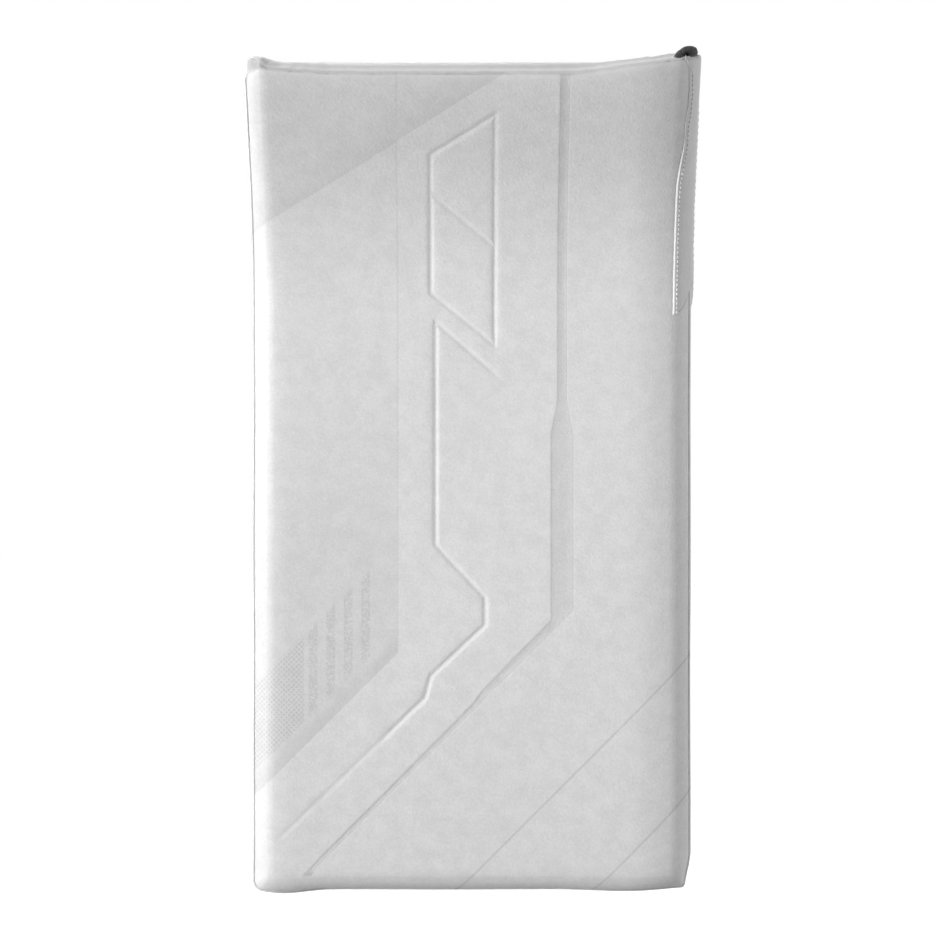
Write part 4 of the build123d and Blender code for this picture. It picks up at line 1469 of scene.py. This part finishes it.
hand_back = start_copy("hand_back_pad", "hand_back")
remesh(hand_back, PAD_VOXEL, 3)
stuff(hand_back, 0.0012)
refine(hand_back)
press_line(hand_back, lambda p, n: min(abs(p.z - z) for z in QUILT_LINES), 0.0024, 0.0011)
smooth(hand_back, 60)
dress(hand_back, glove_cloth)
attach(hand_back, "board_and_glove")
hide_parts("hand_back")


# Palm
# A soft leather palm sewn from flat panels. It is open at the wrist and tapers to the knuckles,
# with the thumb's root on one side.

PALM_TOP, PALM_FOOT = 0.0495, -0.0495
PALM_HALF, WRIST_HALF = 0.0525, 0.0445
HAND_BACK_Y, PALM_Y, KNUCKLE_Y = -0.0196, 0.0222, 0.0070
TAPER_Z = -0.018
THUMB_ROOT_X = 0.0777
LEATHER = 0.0022


def rounded_block(name, low, high, radius):
    block = start_cube(name, low, high)
    bevel_edges(block, lambda e: True, radius, 3)
    return block


body = start_cube(
    "palm", (-PALM_HALF, HAND_BACK_Y, PALM_FOOT), (PALM_HALF, PALM_Y, PALM_TOP)
)
cut_off(body, (0, PALM_Y, 0.002), (0, PALM_TOP, PALM_Y - KNUCKLE_Y))
for side in (-1, 1):
    taper = PALM_HALF - WRIST_HALF
    cut_off(body, (side * PALM_HALF, 0, TAPER_Z), (side * (TAPER_Z - PALM_FOOT), 0, -taper))
bevel_edges(
    body,
    lambda e: edge_middle(body, e).y > 0.0
    and abs(edge_middle(body, e).x) > 0.040
    and not edge_along(body, e, 0),
    0.0075,
    4,
)
root = rounded_block(
    "thumb_root", (0.030, HAND_BACK_Y, -0.0485), (THUMB_ROOT_X, 0.0072, -0.0168), 0.005
)
cut_off(root, (THUMB_ROOT_X, 0, -0.031), (0.0195, 0, -0.0333))
palm = merge([body, root], "palm_leather")
remesh(palm, PAD_VOXEL, 6)
stuff(palm, 0.0011)
refine(palm)
for vertex in palm.data.vertices:
    place = vertex.co
    if place.y > 0:
        crease = noise.noise(Vector((place.x * 18, 0, place.z * 70)))
        vertex.co.y += 0.0007 * crease * rise(place.z, -0.045, -0.02)
edit(palm, "FACE")
pick(
    palm.data.polygons,
    lambda f: f.normal.z < -0.8
    and f.center.z < PALM_FOOT + 0.004
    and abs(f.center.x) < 0.040
    and -0.014 < f.center.y < 0.017,
)
bpy.ops.mesh.delete(type="FACE")
leave()
thicken(palm, LEATHER, -1)
smooth(palm, 60)


def leather(name, light, dark, grain, depth, rough):
    """Soft glove leather: fine grain, creases and lighter rubbed places."""
    finish = Finish(name)
    pore = finish.cells(grain)
    crease = finish.noise(grain / 4, 5, 0.65)
    rubbed = finish.fit(finish.noise(35, 4, 0.6), 0.35, 0.7)
    colour = finish.mix(rubbed, dark, light)
    height = finish.math("ADD", pore, crease)
    rough_map = finish.fit(rubbed, 0, 1, rough, rough + 0.12)
    return finish.done(colour, rough_map, finish.bump(height, depth))


LEATHER_LIGHT, LEATHER_DARK = (0.60, 0.585, 0.56, 1), (0.50, 0.485, 0.46, 1)
glove_leather = leather("glove_leather", LEATHER_LIGHT, LEATHER_DARK, 1300, 0.0001, 0.55)
dress(palm, glove_leather)
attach(palm, "board_and_glove")
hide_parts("palm")

thread_black = thread("thread_black", 0.035, 0.02)


# Palm grip patch
# A dark napped overlay sewn on the flat of the palm, where the stick is held. Two rows of
# quilting hold its middle down.

PATCH_HALF = 0.039
PATCH_LOW, PATCH_HIGH = -0.047, -0.003
PATCH_RADIUS = 0.007

patch = start_cube(
    "palm_grip_overlay", (-PATCH_HALF, 0.0300, PATCH_LOW), (PATCH_HALF, 0.0314, PATCH_HIGH)
)
bevel_edges(patch, lambda e: edge_along(patch, e, 1), PATCH_RADIUS, 6)
slice_grid(patch, 0, 0.002)
slice_grid(patch, 2, 0.002)
for vertex in patch.data.vertices:
    x, y, z = vertex.co
    place, out = on_surface(palm, (x, 0.06, z), (0, -1, 0))
    edge = min(PATCH_HALF - abs(x), z - PATCH_LOW, PATCH_HIGH - z)
    puff = 0.0005 * rise(edge, 0.0005, 0.003)
    lift = 0.0002 if y < 0.0307 else 0.0011 + puff
    vertex.co.y = place.y + lift
smooth(patch, 60)

finish = Finish("grip_suede")
nap = finish.noise(1800, 4, 0.7)
colour = finish.mix(finish.fit(nap, 0.3, 0.7), grey(0.03), grey(0.085))
finish.shader.inputs["Sheen Weight"].default_value = 0.4
grip_suede = finish.done(colour, 0.9, finish.bump(nap, 0.00025))
dress(patch, grip_suede)
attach(patch, "board_and_glove")
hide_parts("palm_grip_patch")


def patch_seam(inset, y):
    """The line round the patch that its edge is sewn along, at a distance y behind the hand."""
    low, high, wide = PATCH_LOW + inset, PATCH_HIGH - inset, PATCH_HALF - inset
    turn = PATCH_RADIUS * 0.6
    corners = [
        (-wide + turn, low),
        (wide - turn, low),
        (wide, low + turn),
        (wide, high - turn),
        (wide - turn, high),
        (-wide + turn, high),
        (-wide, high - turn),
        (-wide, low + turn),
        (-wide + turn, low),
    ]
    return [(x, y, z) for x, z in corners]


row = sew_along(patch, patch_seam(0.0025, 0.06), (0, -1, 0))
sew("palm_patch_stitches", row, thread_black, "board_and_glove")
row = []
for z in (-0.018, -0.032):
    row += sew_along(patch, [(-0.034, 0.06, z), (0.034, 0.06, z)], (0, -1, 0))
sew("palm_patch_quilting", row, thread_black, "board_and_glove")


# Finger stalls
# Four closed leather stalls that grow out of the palm. Each is sewn round its edge and creased
# where the finger bends.

KNUCKLE_Z = 0.0503
STALL_FOOT = 0.034
STALL_GAP = 0.0006
CREASES = (0.30, 0.62)
FINGERS = {"index": 0.074, "middle": 0.082, "ring": 0.076, "little": 0.062}
SKIN_HOLD = (0.040, 0.062)


def shape_stall(name, low, high, creases):
    """A closed, stuffed stall between two corners, creased across at given heights."""
    stall = rounded_block(name, low, high, 0.0075)
    remesh(stall, 0.003, 4)
    stuff(stall, 0.0009)
    refine(stall)
    for z in creases:
        press_line(stall, lambda p, n: abs(p.z - z) + (0.01 if n.y < 0.2 else 0), 0.0026, 0.0010)
    place_noise = 40 * low[0]
    for vertex in stall.data.vertices:
        wrinkle = noise.noise(Vector((vertex.co.x * 60, place_noise, vertex.co.z * 220)))
        near = max(1 - abs(vertex.co.z - z) / 0.009 for z in creases)
        vertex.co += vertex.normal * 0.0005 * wrinkle * max(0, near)
    smooth(stall, 60)
    dress(stall, glove_leather)
    return stall


def stall_seam(low, high, inset):
    """The line up, over and down a stall's palm side that it is sewn along."""
    left, right = low[0] + inset, high[0] - inset
    top = high[2] - inset
    foot = KNUCKLE_Z + 0.004
    turn = 0.005
    corners = [
        (left, foot),
        (left, top - turn),
        (left + turn * 0.3, top - turn * 0.3),
        (left + turn, top),
        (right - turn, top),
        (right - turn * 0.3, top - turn * 0.3),
        (right, top - turn),
        (right, foot),
    ]
    return [(x, 0.06, z) for x, z in corners]


stall_half = (2 * 0.053 - 3 * STALL_GAP) / 8
for number, (finger, length) in enumerate(FINGERS.items()):
    middle_x = 0.053 - stall_half - number * (2 * stall_half + STALL_GAP)
    low = (middle_x - stall_half + 0.0007, -0.0192, STALL_FOOT)
    high = (middle_x + stall_half - 0.0007, 0.0072, KNUCKLE_Z + length - 0.0006)
    creases = [KNUCKLE_Z + length * share for share in CREASES]
    stall = shape_stall(f"{finger}_finger_leather", low, high, creases)
    row = sew_along(stall, stall_seam(low, high, 0.0055), (0, -1, 0))
    body = f"finger_{finger}"
    start, end = (middle_x, 0.008, SKIN_HOLD[0]), (middle_x, 0.008, SKIN_HOLD[1])
    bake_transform(stall)
    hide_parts(body)
    seam = sew(f"{finger}_finger_stitches", row, thread_black, None)
    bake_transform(seam)


# Thumb
# A leather stall like the fingers', and a padded guard of white leather over foam that wraps its
# outer side and tip.

THUMB_FOOT, THUMB_TOP = -0.032, 0.0515
THUMB_CREASES = (0.004, 0.026)
THUMB_HOLD = (-0.028, -0.004)
THUMB_X = 0.0658
GUARD_LINES = (0.012, 0.032)

low, high = (0.0545, -0.0192, THUMB_FOOT), (0.0771, 0.0072, THUMB_TOP)
thumb = shape_stall("thumb_leather", low, high, THUMB_CREASES)
start, end = (THUMB_X, 0.008, THUMB_HOLD[0]), (THUMB_X, 0.008, THUMB_HOLD[1])
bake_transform(thumb)
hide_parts("thumb_stall")

guard = start_copy("thumb_guard_pad", "thumb_guard")
remesh(guard, 0.0018, 4)
stuff(guard, 0.0008)
for level in GUARD_LINES:
    press_line(guard, lambda p, n: abs(p.z - level), 0.0024, 0.0010)
refine(guard)
smooth(guard, 60)
GUARD_LIGHT, GUARD_DARK = 0.74, 0.69
guard_leather = white_leather("guard_leather_white", GUARD_LIGHT, GUARD_DARK)
dress(guard, guard_leather)
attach(guard, "thumb")
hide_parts("thumb_guard")


# Cuff
# A padded channel of white leather round the wrist and forearm, open on the palm side and
# lined with dark mesh cloth. Its rim is bound with black tape.

CUFF_CHANNELS = (-0.0905, -0.1035, -0.1155)
CUFF_WALL = 0.006
CUFF_TOP, CUFF_FOOT = -0.0503, -0.162
CUFF_BACK_Y, CUFF_RIM_Y = -0.0277, 0.024
WRIST_X, MOUTH_X = 0.048, 0.066
FLARE_TOP, FLARE_FOOT = -0.084, -0.112
TAPE_RADIUS = 0.0034

cuff = start_copy("cuff_leather", "cuff_pad")
remesh(cuff, 0.0026, 3)
stuff(cuff, 0.0010)
refine(cuff)
press_line(
    cuff,
    lambda p, n: min(abs(p.z - z) for z in CUFF_CHANNELS) + (0.01 if n.y > 0.5 else 0),
    0.0022,
    0.0010,
)
smooth(cuff, 60)
dress(cuff, guard_leather)
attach(cuff, "board_and_glove")
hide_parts("cuff_pad")

cuff_liner = start_copy("cuff_liner_mesh", "cuff_liner")
slice_grid(cuff_liner, 2, 0.005)
slice_grid(cuff_liner, 0, 0.005)
slice_grid(cuff_liner, 1, 0.005)
for vertex in cuff_liner.data.vertices:
    vertex.co += vertex.normal * 0.00022 * noise.noise(vertex.co * 90)
smooth(cuff_liner, 40)


def mesh_cloth(name, light, dark, pitch):
    """Spacer mesh: round holes in even rows in a dark cloth."""
    finish = Finish(name)
    side = finish.math("ADD", finish.x, finish.y)
    holes = finish.math(
        "MULTIPLY", finish.threads(side, pitch), finish.threads(finish.z, pitch)
    )
    open_part = finish.fit(holes, 0.45, 0.65)
    colour = finish.mix(open_part, light, dark)
    return finish.done(colour, 0.85, finish.bump(holes, -pitch / 6))


spacer = mesh_cloth("spacer_mesh", grey(0.085), grey(0.012), 0.0026)
dress(cuff_liner, spacer)
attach(cuff_liner, "board_and_glove")
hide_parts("cuff_liner")


def cuff_rim():
    """The closed line along the middle of the cuff's wall, round both mouths."""
    wrist = WRIST_X - CUFF_WALL / 2
    mouth = MOUTH_X - CUFF_WALL / 2
    floor_y = CUFF_BACK_Y + CUFF_WALL / 2
    rim = CUFF_RIM_Y + 0.0002
    top = CUFF_TOP - 0.0012
    foot = CUFF_FOOT + 0.0012
    turn = 0.004
    right = [
        (wrist - turn, floor_y, top),
        (wrist, floor_y + turn, top),
        (wrist, rim - turn, top),
        (wrist, rim, top - turn),
        (wrist, rim, FLARE_TOP),
        (mouth, rim, FLARE_FOOT),
        (mouth, rim, foot + turn),
        (mouth, rim - turn, foot),
        (mouth, floor_y + turn, foot),
        (mouth - turn, floor_y, foot),
    ]
    left = [(-x, y, z) for x, y, z in reversed(right)]
    return right + left


def tape_tube(name, points, radius, closed):
    """A soft round tape along a line of points, as a closed tube."""
    line = bpy.data.curves.new(name, "CURVE")
    line.dimensions = "3D"
    spline = line.splines.new("NURBS")
    spline.points.add(len(points) - 1)
    for point, place in zip(spline.points, points):
        point.co = (*place, 1)
    spline.use_cyclic_u = closed
    spline.order_u = 3
    line.resolution_u = 6
    line.bevel_depth = radius
    line.bevel_resolution = 3
    tube = bpy.data.objects.new(name, line)
    bpy.context.scene.collection.objects.link(tube)
    select_only(tube)
    bpy.ops.object.convert(target="MESH")
    return bpy.context.object


def closer(points, step):
    """More points along a line, so that its rounded corners stay tight."""
    result = []
    for start, end in zip(points, points[1:] + points[:1]):
        start, end = Vector(start), Vector(end)
        count = max(1, round((end - start).length / step))
        result += [tuple(start.lerp(end, number / count)) for number in range(count)]
    return result


rim_tape = tape_tube("cuff_rim_tape", closer(cuff_rim(), 0.008), TAPE_RADIUS, True)
for vertex in rim_tape.data.vertices:
    vertex.co += vertex.normal * 0.0002 * noise.noise(vertex.co * 200)
smooth(rim_tape, 60)
dress(rim_tape, glove_cloth)
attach(rim_tape, "board_and_glove")


# Straps
# Two woven straps that close the cuff. Each is sewn into an anchor on the little-finger side,
# crosses the open side, turns down over the far edge and closes on a loop patch.

STRAP_THICKNESS = 0.0022
STRAP_Y = 0.0255
STRAP_TURN = 0.0050
STRAP_END_Y = -0.0055
STRAP_SAG = 0.0012
PATCH_WALL = 0.0011
ANCHOR_RISE, ANCHOR_TURN, ANCHOR_FOOT = 0.0205, 0.0035, 0.010
ANCHOR_THICKNESS, ANCHOR_LAP = 0.0016, 0.0013
STRAPS = {
    "wrist": (-0.068, 0.028, WRIST_X),
    "cuff": (-0.136, 0.032, MOUTH_X),
}


def band(name, length, width, thickness, end_radius):
    """A flat strip lying along X from 0, its far end rounded, ready to be bent over something."""
    strip = start_cube(name, (0, -thickness / 2, -width / 2), (length, thickness / 2, width / 2))
    bevel_edges(
        strip,
        lambda e: edge_along(strip, e, 1) and edge_middle(strip, e).x > length - 1e-4,
        end_radius,
        6,
    )
    round_edges(strip, thickness / 4, 2, 50)
    slice_grid(strip, 0, 0.0015)
    return strip


def lay_band(strip, start, runs, middle_z):
    """Bends a flat strip along runs and turns in the XY plane."""
    for vertex in strip.data.vertices:
        rest, off, height = vertex.co
        place = Vector(start)
        heading = 0.0
        for length, angle in runs:
            used = max(0.0, min(rest, length))
            if angle:
                radius = length / angle
                swept = used / radius
                centre = place + Vector((-math.sin(heading), math.cos(heading))) * radius
                heading += swept
                place = centre + Vector((math.sin(heading), -math.cos(heading))) * radius
            else:
                place = place + Vector((math.cos(heading), math.sin(heading))) * used
            rest -= length
            if rest <= 0:
                break
        side = Vector((-math.sin(heading), math.cos(heading)))
        place = place + side * off
        vertex.co = (place.x, place.y, middle_z + height)


def webbing(name, light, dark):
    """Heavy woven strap: ribs across it and fine threads along it."""
    finish = Finish(name)
    side = finish.math("ADD", finish.x, finish.y)
    ribs = finish.threads(side, 0.0016)
    threads = finish.threads(finish.z, 0.0008)
    weave = finish.math("MULTIPLY_ADD", threads, 0.4, ribs)
    fuzz = finish.noise(1500, 3)
    share = finish.math("MULTIPLY_ADD", weave, 0.5, finish.math("MULTIPLY", fuzz, 0.4))
    finish.shader.inputs["Sheen Weight"].default_value = 0.25
    return finish.done(finish.mix(share, dark, light), 0.7, finish.bump(weave, 0.00022))


strap_webbing = webbing("strap_webbing", grey(0.07), grey(0.02))

finish = Finish("loop_pile")
pile = finish.noise(2200, 5, 0.75)
tufts = finish.cells(900)
colour = finish.mix(finish.fit(pile, 0.35, 0.7), grey(0.015), grey(0.07))
finish.shader.inputs["Sheen Weight"].default_value = 0.5
height = finish.math("ADD", pile, tufts)
loop_pile = finish.done(colour, 0.95, finish.bump(height, 0.0006))

patches = []
anchors = []
for strap_name, (middle_z, width, half) in STRAPS.items():
    outside = half + 0.0029
    across = outside - STRAP_TURN + half - 0.002
    turn = STRAP_TURN * math.pi / 2
    down = STRAP_Y - STRAP_TURN - STRAP_END_Y
    strap = band(
        f"{strap_name}_strap_webbing", across + turn + down, width, STRAP_THICKNESS, 0.008
    )
    runs = [(across, 0), (turn, -math.pi / 2), (down, 0)]
    lay_band(strap, (-half + 0.002, STRAP_Y + 0.0006), runs, middle_z)
    for vertex in strap.data.vertices:
        share = (vertex.co.x + half) / (2 * half)
        if vertex.co.y > STRAP_Y - 0.003:
            vertex.co.y += STRAP_SAG * math.sin(math.pi * max(0, min(1, share)))
    smooth(strap, 50)
    dress(strap, strap_webbing)
    body = f"{strap_name}_strap"
    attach(strap, body)
    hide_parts(body)
    edge = width / 2 - 0.0025
    rows = []
    for side in (-edge, edge):
        line = [(-half + 0.012, 0.06, middle_z + side), (half - 0.004, 0.06, middle_z + side)]
        rows += sew_along(strap, line, (0, -1, 0))
        drop = [(0.12, 0.017, middle_z + side), (0.12, 0.0035, middle_z + side)]
        rows += sew_along(strap, drop, (-1, 0, 0))
    sew(f"{strap_name}_strap_stitches", rows, thread_black, body)

    loop = start_cube(
        "loop",
        (half + 0.0002, -0.011, middle_z - width / 2),
        (half + 0.0002 + PATCH_WALL, 0.019, middle_z + width / 2),
    )
    bevel_edges(loop, lambda e: edge_along(loop, e, 0), 0.0035, 4)
    round_edges(loop, 0.0004, 2, 50)
    patches.append(loop)

    turn = ANCHOR_TURN * math.pi / 2
    anchor = band("anchor", ANCHOR_RISE + turn + ANCHOR_FOOT, width, ANCHOR_THICKNESS, 0.003)
    runs = [(ANCHOR_FOOT, 0), (turn, math.pi / 2), (ANCHOR_RISE, 0)]
    lay_band(anchor, (0, 0), runs, middle_z)
    for vertex in anchor.data.vertices:
        x, y, z = vertex.co
        x = x * -1 - half + ANCHOR_FOOT + ANCHOR_TURN - ANCHOR_LAP
        vertex.co = (x, CUFF_RIM_Y + ANCHOR_LAP - y, z)
    anchors.append(anchor)

loop_patch = merge(patches, "loop_patch_pile")
smooth(loop_patch)
dress(loop_patch, loop_pile)
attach(loop_patch, "board_and_glove")
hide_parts("loop_patches")

anchor_tabs = merge(anchors, "strap_anchor_tabs")
turn_outward(anchor_tabs)
smooth(anchor_tabs)
dress(anchor_tabs, trim_leather)
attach(anchor_tabs, "board_and_glove")
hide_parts("strap_anchors")

rows = []
for middle_z, width, half in STRAPS.values():
    for side in (-1, 1):
        z = middle_z + side * (width / 2 - 0.003)
        rows += sew_along(anchor_tabs, [(-0.12, 0.020, z), (-0.12, 0.006, z)], (1, 0, 0))
    for y in (0.0055, 0.019):
        ends = [(-0.12, y, middle_z + side * (width / 2 - 0.004)) for side in (-1, 1)]
        rows += sew_along(anchor_tabs, ends, (1, 0, 0))
sew("strap_anchor_stitches", rows, thread_white, "board_and_glove")


# Studio
# A pale floor with soft lamps to the left, to the right and behind, and a plain world that looks
# white but lights the object less than it looks.


def seen_directly(tree):
    """1 where the background is looked at, directly or in a reflection, and 0 where it lights."""
    path = tree.nodes.new("ShaderNodeLightPath")
    seen = path.outputs["Is Camera Ray"]
    for ray in ("Is Glossy Ray", "Is Transmission Ray"):
        either = tree.nodes.new("ShaderNodeMath")
        either.operation = "MAXIMUM"
        tree.links.new(seen, either.inputs[0])
        tree.links.new(path.outputs[ray], either.inputs[1])
        seen = either.outputs[0]
    return seen


FLOOR_GLOW = 0.75
FLOOR_LIT, FLOOR_SEEN = (0.3, 0.3, 0.3, 1), (0.8, 0.8, 0.8, 1)

floor_material = bpy.data.materials.new("studio_floor")
floor_material.use_nodes = True
tree = floor_material.node_tree
tree.nodes.clear()
output = tree.nodes.new("ShaderNodeOutputMaterial")
looked_at = seen_directly(tree)
tone = tree.nodes.new("ShaderNodeMix")
tone.data_type = "RGBA"
tone.inputs[6].default_value = FLOOR_LIT
tone.inputs[7].default_value = FLOOR_SEEN
tree.links.new(looked_at, tone.inputs["Factor"])
matte = tree.nodes.new("ShaderNodeBsdfDiffuse")
tree.links.new(tone.outputs[2], matte.inputs["Color"])
glow = tree.nodes.new("ShaderNodeEmission")
strength = tree.nodes.new("ShaderNodeMath")
strength.operation = "MULTIPLY"
strength.inputs[1].default_value = FLOOR_GLOW
tree.links.new(looked_at, strength.inputs[0])
tree.links.new(strength.outputs[0], glow.inputs["Strength"])
both = tree.nodes.new("ShaderNodeAddShader")
tree.links.new(matte.outputs[0], both.inputs[0])
tree.links.new(glow.outputs[0], both.inputs[1])
tree.links.new(both.outputs[0], output.inputs["Surface"])

deselect()
bpy.ops.mesh.primitive_plane_add(size=8, location=(0, 0, HEEL_Z - 0.06))
floor = bpy.context.object
floor.name = "studio_floor"
floor.data.materials.append(floor_material)


def lamp(name, place, target, size, power, spread=180):
    """A square soft lamp; a narrow spread, in degrees, dims the light away from its target."""
    data = bpy.data.lights.new(name, "AREA")
    data.shape = "SQUARE"
    data.size = size
    data.energy = power
    data.spread = math.radians(spread)
    light = bpy.data.objects.new(name, data)
    light.location = place
    aim = Vector(target) - Vector(place)
    light.rotation_euler = aim.to_track_quat("-Z", "Y").to_euler()
    bpy.context.scene.collection.objects.link(light)


lamp("key", (-1.70, -0.90, 0.35), (-0.05, 0, 0.04), 0.8, 2.3, 24)
lamp("fill", (2.00, -0.40, 0.50), (0, 0, 0), 1.2, 11)
lamp("back", (-0.5, 1.9, 1.0), (0, 0, 0), 1.2, 22)

ROOM_LIGHT = 0.37

world = bpy.data.worlds.new("studio")
bpy.context.scene.world = world
world.use_nodes = True
tree = world.node_tree
tree.nodes.clear()
output = tree.nodes.new("ShaderNodeOutputWorld")
mix = tree.nodes.new("ShaderNodeMixShader")
room = tree.nodes.new("ShaderNodeBackground")
room.inputs["Color"].default_value = (1, 1, 1, 1)
room.inputs["Strength"].default_value = ROOM_LIGHT
white = tree.nodes.new("ShaderNodeBackground")
white.inputs["Color"].default_value = (1, 1, 1, 1)
tree.links.new(seen_directly(tree), mix.inputs[0])
tree.links.new(room.outputs[0], mix.inputs[1])
tree.links.new(white.outputs[0], mix.inputs[2])
tree.links.new(mix.outputs[0], output.inputs["Surface"])

bpy.context.scene.view_settings.view_transform = "Standard"
